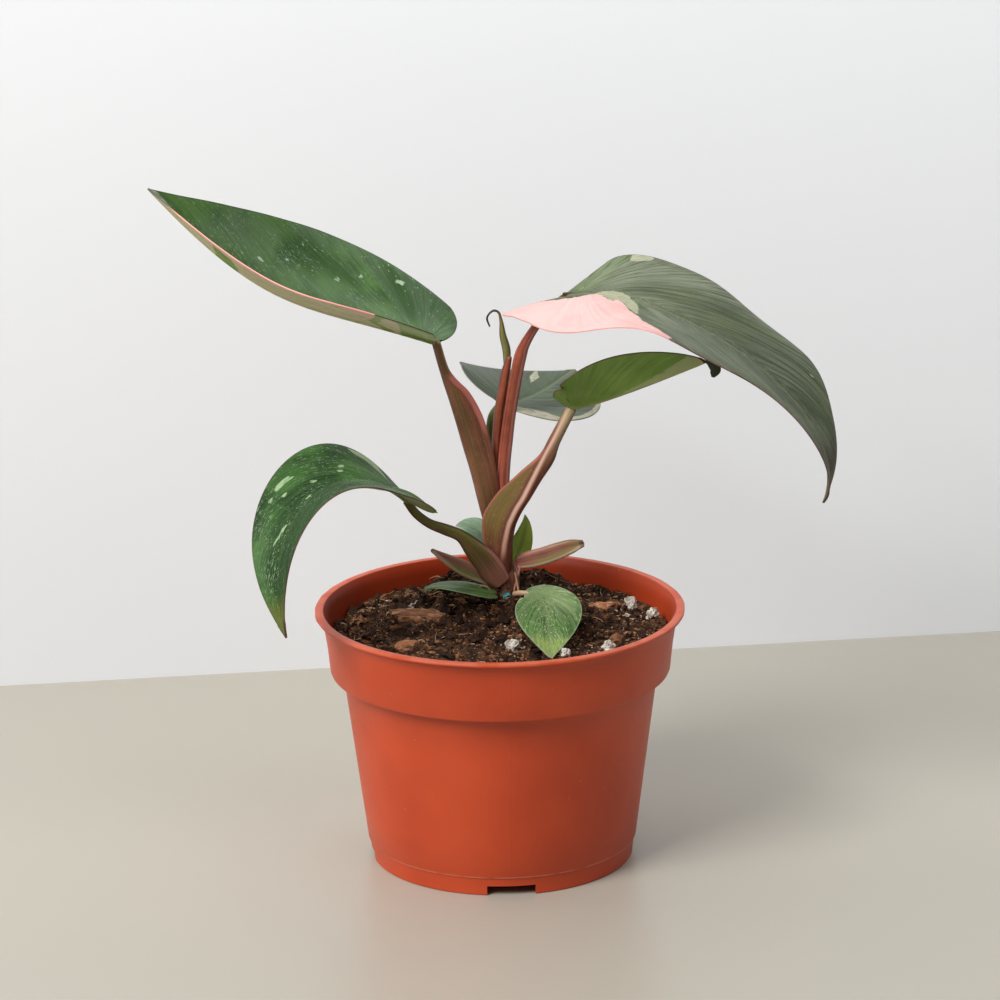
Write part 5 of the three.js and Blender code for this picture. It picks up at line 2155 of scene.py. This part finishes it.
STALKS = (
    Stalk(
        "stem_crown",
        ((1.6, 11, 60, 4.2, 4.2, 4.2), (1.6, 11, 81, 4.2, 4.2, 4.2), (1.6, 11, 87, 2, 2, 2)),
        StalkFinish("crown_skin", tint("8d5a47"), tint("5c3226")),
        "stem",
        ("stem",),
    ),
    Stalk(
        "leaf_stalk_b",
        (
            (1.1, 11.5, 85.6, 2.1, 2.1, 1.9), (1.5, 11, 111.6, 1.9, 1.9, 1.9),
            (2.5, 10.8, 122.2, 1.9, 1.9, 1.9), (3.5, 10.5, 129.8, 1.8, 1.8, 1.8),
            (5.5, 9.8, 141.4, 1.8, 1.8, 1.8), (6.8, 9.2, 147.7, 1.8, 1.8, 1.7),
            (8, 8.8, 151.1, 1.5, 1.5, 1.6), (11, 8, 156.3, 1.2, 1.2, 1.4),
            (15, 6.5, 161.6, 1.2, 1.2, 1.4), (19, 5.2, 165.4, 1.2, 1.2, 1.3),
        ),
        StalkFinish(
            "stalk_b_skin", tint("a5543e"), tint("6f3223"), speckle=GOLD, speckles=0.6,
            strips=(
                Strip(tint("b4552f"), 2.2, 0.9, end=42, fade=12, blur=0.8, strength=0.6),
                Strip(tint("d98a80"), 0.75, 0.4, From.RIGHT, strength=0.8),
                # thin dark line along the right outline: painted shade where the stalk turns away
                Strip(tint("54211e"), 0.05, 0.2, From.RIGHT, blur=0.2, strength=0.8),
                Strip(tint("7a3a2c"), 1.5, 0.15, From.RIGHT, blur=0.25, strength=0.5),
            ),
        ),
        "petiole_red",
        ("petiole_b",),
        tip=0.02,
        reach=1,
    ),
    Stalk(
        "spear_sheath",
        (
            (-0.1, 13, 85.1, 1.8, 1.5, 1.6), (-0.6, 12.8, 111.1, 1.3, 1.3, 1.6),
            (-0.5, 12.6, 120.3, 1.3, 1.3, 1.7), (0.4, 12.4, 129.3, 1.5, 1.4, 1.7),
            (1.4, 12.2, 135.4, 1.5, 1.3, 1.6), (2.7, 12, 142.3, 1.5, 1.1, 1.4),
            (3.8, 11.6, 147.3, 0.9, 0.7, 1),
        ),
        StalkFinish(
            "sheath_skin", tint("a05339"), tint("6f3725"), speckle=GOLD, speckles=0.6,
            # thin dark line along the left outline: painted shade where the sheath turns away
            strips=(Strip(tint("57251f"), 0.1, 0.2, From.LEFT, blur=0.15),),
        ),
        "petiole_red",
        ("new_leaf_sheath",),
    ),
    Stalk(
        "new_leaf_spear",
        (
            (2.9, 14.3, 141.4, 0.9, 0.9, 0.9), (2.8, 13.8, 148.4, 1.2, 1.2, 1.2),
            (1.8, 13.4, 153, 1, 1, 1), (1.3, 13, 157.6, 0.5, 0.5, 0.6),
            (0.6, 12.8, 159.9, 0.35, 0.35, 0.4), (-0.6, 12.6, 160.5, 0.35, 0.35, 0.35),
            (-1.9, 12.4, 159.8, 0.3, 0.3, 0.35), (-2.7, 12.3, 158.3, 0.3, 0.3, 0.3),
            (-1.9, 12.2, 155.7, 0.25, 0.25, 0.25),
        ),
        StalkFinish(
            "spear_skin", tint("8c8a50"), tint("666b38"), speckles=0.1,
            strips=(
                # thin dark lines along both outlines: painted shade where the spear turns away
                Strip(tint("5c3a26"), 0.1, 0.25, From.RIGHT, blur=0.2),
                Strip(tint("5c3a26"), 0.1, 0.2, From.LEFT, blur=0.2),
                Strip(tint("33241a"), 0, 9, start=14.5),
            ),
        ),
        "petiole_olive",
        ("new_leaf",),
    ),
    Stalk(
        "leaf_stalk_d",
        (
            (0.2, 15, 84.5, 1.8, 1.8, 1.8), (-0.4, 16, 108.7, 1.8, 1.8, 1.7),
            (-1.4, 17, 120.3, 1.6, 1.6, 1.6), (-1.9, 17.5, 124.1, 1.5, 1.5, 1.5),
            (-1.3, 18, 127.9, 1.3, 1.3, 1.4), (0.8, 18.5, 130.6, 1.2, 1.2, 1.3),
        ),
        StalkFinish("stalk_d_skin", tint("76803e"), tint("56642c"), speckles=0.1),
        "petiole_olive",
        ("petiole_d",),
        tip=0.02,
        reach=0.6,
    ),
    Stalk(
        "leaf_stalk_a",
        (
            (0.2, 10.5, 84.4, 2.1, 2.3, 2), (-2, 10, 95.2, 1.9, 3.8, 2.2),
            (-4.2, 9.5, 104.5, 1.9, 5, 2.2), (-6.3, 9, 113.8, 1.9, 5.8, 2.2),
            (-8.4, 9, 121.4, 1.9, 6.4, 2.1), (-10.4, 9, 129, 1.9, 6.1, 2),
            (-12.5, 9, 136, 1.8, 4.6, 1.9), (-14, 9.3, 140.5, 1.7, 2.3, 1.7),
            (-15.3, 9.5, 144, 1.4, 1.4, 1.5), (-17.4, 10, 151.6, 1.3, 1.3, 1.4),
        ),
        StalkFinish(
            "stalk_a_skin", tint("84563c"), tint("5c3a28"), speckle=tint("ab8846"), speckles=0.5,
            strips=(
                Strip(tint("6d6334"), 0.9, 0.9, blur=0.9, strength=0.35),
                # thin dark line along the left outline: painted shade where the stalk turns away
                Strip(tint("4a2c20"), 0.1, 0.25, From.LEFT, blur=0.2),
                Strip(tint("834638"), 0.3, 0.5, From.RIGHT, end=34, blur=0.4, strength=0.8),
                Strip(tint("bb6c62"), 0.6, 0.85, From.RIGHT, start=34, end=58, fade=3, blur=0.35),
                Strip(
                    tint("7c3a33"), 2, 0.2, From.RIGHT, start=34, end=57, fade=3, blur=0.25,
                    strength=0.8,
                ),
            ),
        ),
        "petiole_red",
        ("petiole_a",),
        thin=0.75,
        tip=0.02,
        reach=0.8,
    ),
    Stalk(
        "leaf_stalk_c",
        (
            (1, 9, 81.7, 2.9, 2.3, 2), (1.7, 8, 88.2, 5.3, 2.3, 2.4), (2.3, 7, 93, 7.1, 1.9, 2.4),
            (3.4, 6, 98, 8.4, 1.6, 2.3), (5.3, 5, 102.7, 7.8, 1.6, 2.2),
            (8, 4, 107.5, 6.7, 1.7, 2.1), (10.6, 3, 113, 4.6, 2.1, 2),
            (13.7, 1.5, 119.4, 2, 2.7, 1.8), (16.5, 0, 125, 1.9, 1.7, 1.7),
            (21, -2.6, 134.8, 1.6, 1.6, 1.5),
        ),
        StalkFinish(
            "stalk_c_skin", tint("85503f"), tint("5f3529"), speckle=tint("b89048"), speckles=0.6,
            strips=(
                Strip(tint("776a34"), -5.4, 3.2, start=14, end=46, fade=9, blur=1.2, strength=0.75),
                Strip(tint("ab6458"), 0.2, 0.35, From.LEFT, start=3, end=48, strength=0.8),
                Strip(tint("54302a"), -1.6, 0.2, start=6, end=44, blur=0.35, strength=0.8),
                Strip(tint("c89685"), -0.6, 0.6, start=8, fade=4, blur=0.35),
                Strip(tint("dfbcaa"), -0.7, 0.35, start=20, fade=8, blur=0.3, strength=0.8),
                Strip(tint("a98468"), 0.6, 1, start=46, fade=6, blur=0.6, strength=0.8),
                Strip(tint("c4b48c"), -0.2, 1.3, start=56, fade=5, strength=0.8),
                # thin dark line along the right outline: painted shade where the stalk turns away
                Strip(tint("4f2a25"), 0.1, 0.3, From.RIGHT, blur=0.25),
            ),
        ),
        "petiole_red",
        ("petiole_c",),
        thin=0.75,
        tip=0.02,
        reach=1.2,
    ),
    Stalk(
        "leaf_stalk_e",
        (
            (1, 7.5, 79.8, 2.9, 2.6, 2.3), (-1.6, 6.5, 83.2, 3.9, 3.8, 2.4),
            (-4, 5.5, 87.2, 3.8, 3.6, 2.4), (-7.3, 4, 91.6, 3.1, 2.9, 2.2),
            (-11, 2.5, 95.8, 1.9, 1.9, 1.8), (-15.5, 1.2, 98.2, 1.7, 1.7, 1.5),
            (-20, 0, 100.4, 1.4, 1.4, 1.4), (-23.8, -1, 103.7, 1.3, 1.3, 1.3),
            (-26.6, -2.7, 108.2, 1.2, 1.2, 1.2),
        ),
        StalkFinish(
            "stalk_e_skin", tint("74603a"), tint("4f3b26"), speckle=tint("8d7a3f"), speckles=0.2,
            strips=(
                Strip(
                    tint("66702f"), 0.8, 0.8, From.RIGHT, start=14, fade=5, blur=0.5, strength=0.7
                ),
                Strip(tint("9c6355"), 0, 6, end=9, fade=5, blur=0.5, strength=0.8),
                Strip(tint("b57d70"), 0.2, 0.5, From.RIGHT, end=16, fade=4, blur=0.4, strength=0.8),
                # thin dark lines along both outlines: painted shade where the stalk turns away
                Strip(tint("38251b"), 0.1, 0.3, From.LEFT, start=3, blur=0.2),
                Strip(tint("3f2a1f"), 0.05, 0.2, From.RIGHT, start=14, blur=0.2),
            ),
        ),
        "petiole_olive",
        ("petiole_e",),
        groove=0.25,
        tip=0.05,
    ),
    Stalk(
        "papery_scale_left",
        (
            (-2.2, 7.4, 79.8, 1.3, 1.3, 1), (-5.1, 6.2, 82.1, 2, 2, 1.1),
            (-8.6, 5.2, 84.3, 2.4, 2.4, 1.1), (-12, 4.4, 86.4, 2.2, 2.2, 1),
            (-15.8, 3.6, 88.8, 1.5, 1.5, 0.8), (-19.8, 3, 91.6, 0.6, 0.6, 0.4),
        ),
        StalkFinish(
            "scale_left_skin", tint("86804a"), tint("5f5a34"), speckles=0.2,
            strips=(
                Strip(tint("a2705f"), 1, 1.3, From.RIGHT, blur=0.7),
                Strip(tint("c0877a"), 0.1, 0.3, From.RIGHT, blur=0.3, strength=0.7),
                Strip(tint("c9ac90"), 0.5, 0.6, From.LEFT, blur=0.5),
                Strip(tint("4a3028"), 0, 5, start=21.5, fade=0.8),
            ),
        ),
        "leaf_scale",
        ("scale_left",),
        groove=0.5,
        tip=0.08,
    ),
    Stalk(
        "papery_scale_right",
        (
            (4.9, 9.2, 85.3, 1.9, 1.9, 1.1), (8.4, 8.6, 86.4, 2.6, 2.6, 1.3),
            (12.8, 7.6, 87.8, 2.7, 2.7, 1.3), (17.2, 6.8, 89.6, 2.6, 2.6, 1.3),
            (21.3, 6.2, 91.2, 2.1, 2.1, 1.1), (24.8, 5.8, 92.2, 1, 1, 0.7),
        ),
        StalkFinish(
            "scale_right_skin", tint("ab7261"), tint("7d5042"), speckle=tint("b08f58"),
            speckles=0.4,
            strips=(
                Strip(tint("8a8450"), 1.7, 0.9, From.RIGHT, start=6, blur=0.8, strength=0.75),
                Strip(tint("d2bd9c"), 0.5, 0.6, From.RIGHT, blur=0.4),
                Strip(tint("7c7a42"), 0.3, 0.4, From.LEFT, start=10, blur=0.4, strength=0.5),
                Strip(tint("4a3028"), 0, 6, start=19.8, fade=0.6, strength=0.7),
            ),
        ),
        "leaf_scale",
        ("scale_right",),
        groove=0.45,
        tip=0.07,
    ),
    Stalk(
        "leaf_stalk_round",
        (
            (4.2, 3, 77.8, 0.8, 0.8, 0.8), (6.2, -2, 79.6, 0.8, 0.8, 0.8),
            (8.8, -8.6, 81.5, 0.7, 0.7, 0.7),
        ),
        StalkFinish("stalk_round_skin", tint("cfae8c"), tint("a6806a"), speckles=0.1),
        "petiole_olive",
        ("petiole_round",),
    ),
    Stalk(
        "leaf_c_curl",
        (
            (58.6, -20.8, 153.4, 0.5, 0.5, 0.25), (60.2, -21, 152.6, 1, 1.2, 0.25),
            (61.4, -21, 151, 1.6, 1.5, 0.25), (61, -21, 149.6, 1.2, 1.1, 0.25),
            (60.6, -21, 148.6, 0.5, 0.4, 0.2),
        ),
        StalkFinish("curl_skin", tint("2f3d20"), tint("1d2514"), speckles=0.1),
        "leaf_green",
        (),
        tip=0.05,
    ),
    Stalk(
        "leaf_e_lobe",
        (
            (-30.6, -5, 112.4, 0.8, 0.8, 0.25), (-28.3, -5, 111.4, 1.1, 1, 0.3),
            (-25.4, -5, 110.2, 1.1, 0.9, 0.3), (-22.6, -5, 108.4, 0.9, 0.8, 0.25),
            (-19.8, -5, 106.2, 0.6, 0.5, 0.2), (-17.5, -5, 105, 0.25, 0.25, 0.15),
        ),
        StalkFinish("lobe_skin", tint("6f7d56"), tint("4b5c39"), speckles=0.1),
        "leaf_green",
        (),
        tip=0.6,
    ),
    Stalk(
        "rootlet_pale",
        (
            (4.6, 4.6, 84, 0.3, 0.3, 0.3), (5.1, 3.4, 81.2, 0.28, 0.28, 0.3),
            (5.6, 2, 78.8, 0.3, 0.3, 0.3), (6.3, 0.4, 76.6, 0.25, 0.25, 0.25),
        ),
        StalkFinish("rootlet_skin", tint("b08a62"), tint("7a5438"), speckles=0.2),
        "soil",
        (),
    ),
    Stalk(
        "rootlet_rosy",
        (
            (6.2, 6.6, 85.4, 0.35, 0.35, 0.35), (5.3, 5.4, 81.8, 0.4, 0.4, 0.4),
            (4.4, 4.2, 78.8, 0.38, 0.38, 0.4), (4.2, 3, 76.4, 0.3, 0.3, 0.3),
        ),
        StalkFinish("rosy_rootlet_skin", tint("a2685a"), tint("70423a"), speckles=0.2),
        "soil",
        (),
    ),
    Stalk(
        "rootlet_curled",
        (
            (-6.6, 3.6, 78.6, 0.3, 0.3, 0.3), (-5.4, 3, 80.3, 0.3, 0.3, 0.3),
            (-3.8, 2.2, 80.4, 0.3, 0.3, 0.3), (-2.6, 2, 79, 0.25, 0.25, 0.25),
            (-2.4, 2, 77, 0.2, 0.2, 0.2),
        ),
        StalkFinish("curled_rootlet_skin", tint("b89a80"), tint("80604c"), speckles=0.2),
        "soil",
        (),
    ),
)

ROSE = tint("d9a9a0")  # a margin where the leaf is pink
TINY = {"rows": 48, "columns": 12, "thickness": 0.5, "keel": 0.15, "groove": 0.1, "quilt": 0.03}
LEAF_BACK = LeafFinish(
    "leaf_back", tint("7f8c50"), tint("66753f"), pale=tint("939a70"), streaks=0.25, roughness=0.5,
    relief=0.05
)


def young_back(name: str) -> LeafFinish:
    """Give the grey-green back of a young leaf."""
    return LeafFinish(name, tint("8aa06a"), tint("748d58"))


BLADES = (
    Blade(
        "leaf_a",
        ((-17.8, 9.5, 152.2), (-56, 14, 164), (-64.5, 15, 158), (-99, 10.5, 198)),
        ((0.23, 0.17, 1), (0.54, -0.29, 0.76)),
        Half(29.3, 0.05, (9, 36)),
        Half(30.6, 0.4, (21, 55)),
        LeafFinish(
            "leaf_a_upper", tint("4c6f31"), tint("29471a"), pale=tint("61745a"),
            cream=tint("a9b8a0"),
            fleck=tint("a9bba8"), flecks=0.5, streaks=0.3, painted_sheen=0.55, veined=0.4,
            margin=tint("3c3a2a"),
            gloss=0.1,
        ),
        LeafFinish(
            "leaf_a_back", tint("8ca64c"), tint("6c8638"), pale=tint("94a25c"),
            cream=tint("c6ba94"),
            pink=tint("dcbaa0"), blush=tint("d8ac98"), margin=tint("e2a79e"), streaks=0.15,
            veined=0.15,
            gloss=0.02,
        ),
        "leaf_green",
        "blade_a",
        {
            # painted sheen: silvery grey-green bands
            Mark.PAINTED_SHEEN: (
                ((-4, -3), (4, -3), (8, -9), (5, -14), (-2, -12)),
                ((6, -5), (62, -3), (60, -9), (48, -11), (30, -11), (14, -9)),
                ((20, -24.5), (34, -25), (52, -21), (52, -31), (20, -31)),
                ((52, -5), (80, -1), (72, -16), (54, -20)),
            ),
            # painted shade along the crease near the base, and a darker green zone further out
            Mark.DARK: (
                (
                    (11.5, -11.5), (15, -14), (18, -20), (22, -29), (4, -30), (-3, -25), (2, -22),
                    (12, -24), (15, -20),
                ),
                ((28, -14), (52, -13), (54, -17), (50, -21), (28, -23)),
            ),
            Mark.CREAM: (
                (
                    (14.5, -23.5), (15, -22.4), (15.6, -23.2), (16.5, -22.3), (16.8, -24),
                    (15.8, -24.8), (14.8, -25),
                ),
                ((26, -18), (27, -18), (27, -19.5), (26.2, -19.5)),
                ((31.8, -13), (33.4, -13.6), (33.2, -14.5), (32, -14)),
                ((40.2, -12.2), (41.2, -12.5), (41, -13.2), (40.3, -13)),
                ((48, -11.6), (50, -11.9), (49.8, -12.5), (48.2, -12.4)),
                ((55, -6.8), (58, -6.9), (57.6, -7.4), (55.2, -7.3)),
                ((46, -19.3), (47.6, -19.6), (47, -20.2), (46, -20)),
                ((10, -1), (13.5, 2), (17, 9), (15.5, 15), (15, 24), (12, 31), (10, 31)),
                (
                    (14.5, -1), (18.5, 5), (19.5, 11), (18, 18), (17.5, 31), (97, 31), (97, -1),
                    (68, -1), (71, 6), (74, 13), (66, 11), (62, 5), (60, -1),
                ),
            ),
            Mark.PINK: (
                (
                    (16.5, 31), (17.5, 22), (20, 18.5), (25, 24), (29, 27), (45, 24), (60, 16),
                    (72, 12), (97, 1), (97, 31),
                ),
            ),
        },
        edging=MarginFinish("leaf_a_margin", tint("4c3f30"), tint("2e2a20"), tint("ee9a96")),
    ),
    Blade(
        "leaf_b",
        ((19.5, 4.5, 166.5), (48, -6, 175), (102, -36, 141.5), (91.5, -30, 114)),
        ((-0.44, 0.09, 0.43), (1, -0.05, 0.95)),
        Half(36, 1, (-5, 23), (0.55, 2.6, 36), FULL_OUTLINE),
        Half(34.5, 1, (0, 1), (1.8, 2.1, 86), DRAWN_OUTLINE),
        LeafFinish(
            "leaf_b_upper", tint("4b5727"), tint("2b3814"), pale=tint("7b826b"),
            fresh=tint("5b7334"),
            pink=tint("e1b5b0"), blush=tint("dcaaa5"), cream=tint("a6a688"), spacing=1.6,
            streaks=0.55,
            veined=1, painted_sheen=0.75, relief=0.1, gloss=0.14,
        ),
        LeafFinish(
            "leaf_b_back", tint("76834e"), tint("5f6d3c"), pale=tint("8f9670"), streaks=0.3,
            roughness=0.5,
        ),
        "leaf_pink",
        "blade_b",
        {
            Mark.PINK: (
                (
                    (-6, -1.8), (0, -3.7), (4, -4.3), (7, -2.5), (9, -0.8), (10.5, 0), (12.5, -2),
                    (15, -4), (16.5, -5), (18, -3.8), (20, -5), (22, -7.5), (24, -9.5), (26.5, -12),
                    (29, -14.5), (31, -17.5), (32.5, -20), (34.5, -22), (37, -24.5), (39.5, -27.5),
                    (42, -30.5), (46, -33.5), (47, -42), (0, -42), (-26, -12), (-22, -2),
                    (-12, -1.5),
                ),
            ),
            Mark.CREAM: (
                (
                    (9, 0), (11, 2), (14, 3.8), (17, 3.2), (20, 1), (22, -1.5), (25, -5),
                    (26.5, -8.5), (27, -10), (28.5, -13), (27, -12.5), (24, -9.5), (21, -5.5),
                    (18.5, -3.8), (16.5, -5), (14.5, -3.5), (12, -1.5),
                ),
                ((6.5, 39), (7, 35), (8.5, 33), (10.5, 35.5), (12, 37), (12, 41), (6, 41)),
                ((72.6, 19.8), (74.4, 19.6), (74, 18.6), (72.8, 18.8)),
            ),
            Mark.FRESH: (
                ((1, 4), (7, 2), (8.5, 10), (8, 20), (8, 33), (7, 39), (-4, 39), (-4, 10)),
            ),
            # painted sheen: grey sheen over the far half, and bands on the near half
            Mark.PAINTED_SHEEN: (
                (
                    (9, 0), (14, 4), (16, 14), (18, 24), (36, 27), (52, 26), (66, 27), (60, 33),
                    (30, 38), (12, 38), (8.5, 30), (9, 14),
                ),
                (
                    (26, -3), (34, -4), (50, -6), (60, -9), (80, -11), (88, -8), (84, -13),
                    (66, -18), (60, -22), (48, -33), (40, -27), (32, -17),
                ),
                ((14, 3), (28, 8), (34, 6), (30, 2), (20, 1)),
                ((82, -3), (90, -1), (97, 2), (90, 7), (84, 3)),
            ),
            # painted shade in the midrib's valley, and a dark green band beside the pink
            Mark.DARK: (
                (
                    (34, 4), (46, 4), (60, 12), (78, 12), (84, 6), (82, -2), (78, -9), (64, -8),
                    (50, -2), (40, 0),
                ),
                (
                    (26.5, -9), (29, -11), (34, -18), (40, -25), (47, -31.5), (47, -35), (40, -29),
                    (33, -21), (28, -14),
                ),
            ),
            Mark.BROWN: (((90, -15), (96, 6), (112, 0), (112, -4), (98, -9)),),
        },
        rows=170,
        columns=44,
    ),
    Blade(
        "leaf_c",
        ((21.3, -3.3, 135.7), (26, -4.5, 135.2), (62, -13.5, 152.2), (58.3, -20.7, 152.9)),
        ((-0.03, 0.14, 1), (0.11, 0.41, 0.95)),
        Half(18, 0.9, (31, 32)),
        Half(18, 0.9, (29, 38)),
        LeafFinish("leaf_c_upper", tint("466436"), tint("305026")),
        # The back's own yellow-green, made brighter to stand for light coming through the leaf:
        # painted light.
        LeafFinish(
            "leaf_c_back", tint("7ca246"), tint("648a38"), pale=tint("98a86a"),
            cream=tint("a4ad7e"),
            streaks=0.35, veined=0.45, roughness=0.5, margin=tint("4c3f2b"), rib=tint("ada27e"),
            ribbed=0.7,
        ),
        "leaf_green",
        "blade_c",
        {
            Mark.CREAM: (((14, 0.5), (48, 0.5), (48, -6), (42, -4.5), (30, -2.6), (18, -1)),),
        },
        rows=110,
        columns=34,
        keel=0.4,
    ),
    Blade(
        "leaf_d",
        ((1.7, 18.8, 131.3), (10.5, 30, 128.5), (16.5, 44.5, 130), (23.5, 57.5, 131)),
        ((0.13, -0.09, 0.98), (0, 0, 1)),
        Half(23, 0.8, (18, 4)),
        Half(22.5, 0.95, (2, -2)),
        LeafFinish(
            "leaf_d_upper", tint("47563d"), tint("384732"), pale=tint("5f6b58"),
            cream=tint("b9b49c"), streaks=0.3,
            veined=0.3, margin=tint("5f6a54"),
        ),
        LeafFinish("leaf_d_back", tint("7f8b5a"), tint("6a774a")),
        "leaf_green",
        "blade_d",
        {
            Mark.CREAM: (
                ((-5, -4), (1, -6), (4, -12), (3, -20), (-6, -20)),
                ((24, 5), (31, 5.5), (38, 9.5), (30, 8)),
                ((6, -19.6), (12, -20.8), (18, -19.6), (24, -16.6), (26, -20), (10, -24), (2, -22)),
            ),
            # paler patches of painted sheen
            Mark.PAINTED_SHEEN: (
                ((2, -18), (6, -12), (10, -13), (8, -21)), ((10, 10), (22, 14), (24, 18), (10, 22))
            ),
        },
        rows=110,
        columns=34,
        edging=MarginFinish("leaf_d_margin", tint("a59d88"), tint("6d6a58"), ROSE),
    ),
    Blade(
        "leaf_e",
        ((-26.3, -3, 108.4), (-43.7, -13, 128), (-69, -36.7, 116.2), (-60, -44.4, 80.5)),
        ((0.14, 0, 0.44), (-0.93, -0.69, -0.2)),
        Half(19.6, 0.35, (13, 14)),
        Half(19.5, 0.35, (3, 21)),
        LeafFinish(
            "leaf_e_upper", tint("3c6428"), tint("112d09"), pale=tint("56764a"),
            cream=tint("9ab086"), flecks=1.1,
            streaks=0.25, veined=0.4, ribbed=0.1, brown=tint("66662c"), fleck=tint("9fb394"),
            roughness=0.52,
            gloss=0.1,
        ),
        LEAF_BACK,
        "leaf_green",
        "blade_e",
        {
            Mark.CREAM: (
                ((5, -5), (8, -9), (10, -13), (12.5, -14.5), (13.5, -17.5), (8, -18), (5, -16)),
                ((47, -1), (54, -3), (54, -4), (51, -2.8), (48, -2.4)),
                ((32.5, -12), (38, -12.5), (38, -14), (33, -13.6)),
                ((38, -8.4), (39.4, -8.6), (39.2, -9.6), (38, -9.4)),
                ((36, -0.6), (38, -1), (38, -2), (36, -1.4)),
                ((30.4, -4.6), (31.6, -4.6), (31.9, -6), (30.9, -5.5)),
                ((21, -4.4), (23, -4.6), (22.8, -5.8), (21, -5.6)),
                ((19.8, -6.6), (21.4, -6.6), (21.2, -7.6), (19.9, -7.4)),
                ((40.3, -11.6), (42, -11.8), (41.8, -12.8), (40.4, -12.6)),
            ),
            # paler patches of painted sheen
            Mark.PAINTED_SHEEN: (
                ((52, -3), (66, -2.5), (63, -11), (50, -10)),
                ((3, 0), (14, 0), (15, -8), (8, -8), (4, -7)),
                ((6, 8), (34, 8), (42, 13), (30, 20), (6, 20)),
            ),
            # painted shade over the drooping part that turns away from the light
            Mark.DARK: (((32, -8), (60, -6), (74, 0), (60, 12), (40, 18), (24, 12), (24, 0)),),
            Mark.BROWN: (((72, -5), (82, 0), (72, 5)),),
        },
        rows=160,
        columns=44,
        groove=0.12,
    ),
    Blade(
        "leaf_round",
        ((9, -9.2, 81.8), (15, -11.6, 82.4), (13.6, -25, 72.4), (14.8, -31, 69)),
        ((0.05, 0, 1), (0.12, -0.3, 1)),
        Half(10.8, 0.9, (0, 6)),
        Half(9.2, 0.3, (1, 7), outline=ROUND_OUTLINE),
        LeafFinish(
            "leaf_round_upper", tint("3e6827"), tint("1a3d14"), pale=tint("93a773"),
            fresh=tint("8a9c4a"),
            cream=tint("b3c0a0"), flecks=1.4, streaks=0.35, veined=0.25, margin=tint("93a57c"),
            spacing=1.3,
            fleck=tint("b6c59c"),
        ),
        young_back("leaf_round_back"),
        "leaf_young",
        "blade_round",
        {
            # painted sheen: paler patches at the raised base
            Mark.PAINTED_SHEEN: (((-2, 0), (8, 0), (11, 7), (2, 10)), ((-3, -9), (1, -9), (4, -3), (0, 0))),
            Mark.FRESH: (((20, -5), (29, 0), (20, 5)),),
        },
        rows=90,
        columns=30,
        keel=0.35,
        groove=0.2,
        quilt=0.08,
        quilts=5,
        edging=MarginFinish("leaf_round_margin", tint("a9b58c"), tint("7f9166"), ROSE),
    ),
    Blade(
        "leaf_folded",
        ((-2.6, -0.5, 79.2), (-9.3, -0.8, 81.2), (-22.8, -1.7, 84), (-21.2, -2.9, 79.8)),
        ((0, 0.14, 1), (-0.3, 0.13, 1)),
        Half(7.2, 0.9, (-5, -4)),
        Half(7.2, 0.9, (6, 7)),
        LeafFinish(
            "leaf_folded_upper", tint("42692b"), tint("274819"), pale=tint("6a8050"), streaks=0.4
        ),
        young_back("leaf_folded_back"),
        "leaf_green",
        "blade_folded",
        rows=70,
        columns=18,
        thickness=0.5,
        keel=0.2,
        groove=0.15,
        quilt=0.12,
        quilts=4,
        edging=MarginFinish("leaf_folded_margin", tint("8fa37c"), tint("5c7450"), ROSE),
    ),
    Blade(
        "leaf_behind_left",
        ((-4, 15.5, 90.7), (-6, 16, 93.7), (-9, 16.5, 95.7), (-12.6, 17, 94.6)),
        ((0.3, -0.6, 0.8), (-0.1, -0.5, 1)),
        Half(4.4, 0.5, (10, 10)),
        Half(4.4, 0.5, (10, 10)),
        LeafFinish(
            "leaf_behind_left_upper", tint("82a086"), tint("69896e"), pale=tint("a6b8a2"),
            margin=tint("8fa88c")
        ),
        young_back("leaf_behind_left_back"),
        "leaf_young",
        "blade_behind_left",
        **TINY,
        edging=MarginFinish("leaf_behind_left_margin", tint("b0c2a8"), tint("86a288"), ROSE),
    ),
    Blade(
        "leaf_behind_right",
        ((4.8, 14.7, 84.5), (6.6, 17.5, 89), (8.6, 18, 93.5), (7.7, 17, 97.8)),
        ((0.2, -1, 0.2), (0.1, -1, 0.1)),
        Half(3.4, 0.5, (16, 12)),
        Half(3.4, 0.5, (16, 12)),
        # Bright yellow-green above the leaf's own colour, standing for light through the thin leaf:
        # painted glow.
        LeafFinish(
            "leaf_behind_right_upper", tint("bce65a"), tint("9ccc46"), pale=tint("cae68a"),
            margin=tint("6f8f3a")
        ),
        young_back("leaf_behind_right_back"),
        "leaf_young",
        "blade_behind_right",
        **TINY,
        edging=MarginFinish("leaf_behind_right_margin", tint("6b8a3a"), tint("43602a"), ROSE),
    ),
)


def main() -> None:
    """Build every sub-assembly in order, then note the sizes."""
    logging.basicConfig(level=logging.INFO, format="%(message)s")
    Studio().build()
    Pot().build()
    PottingMix().build()
    LooseBits().build()
    Plant(STALKS, BLADES).build()


if __name__ == "__main__":
    main()
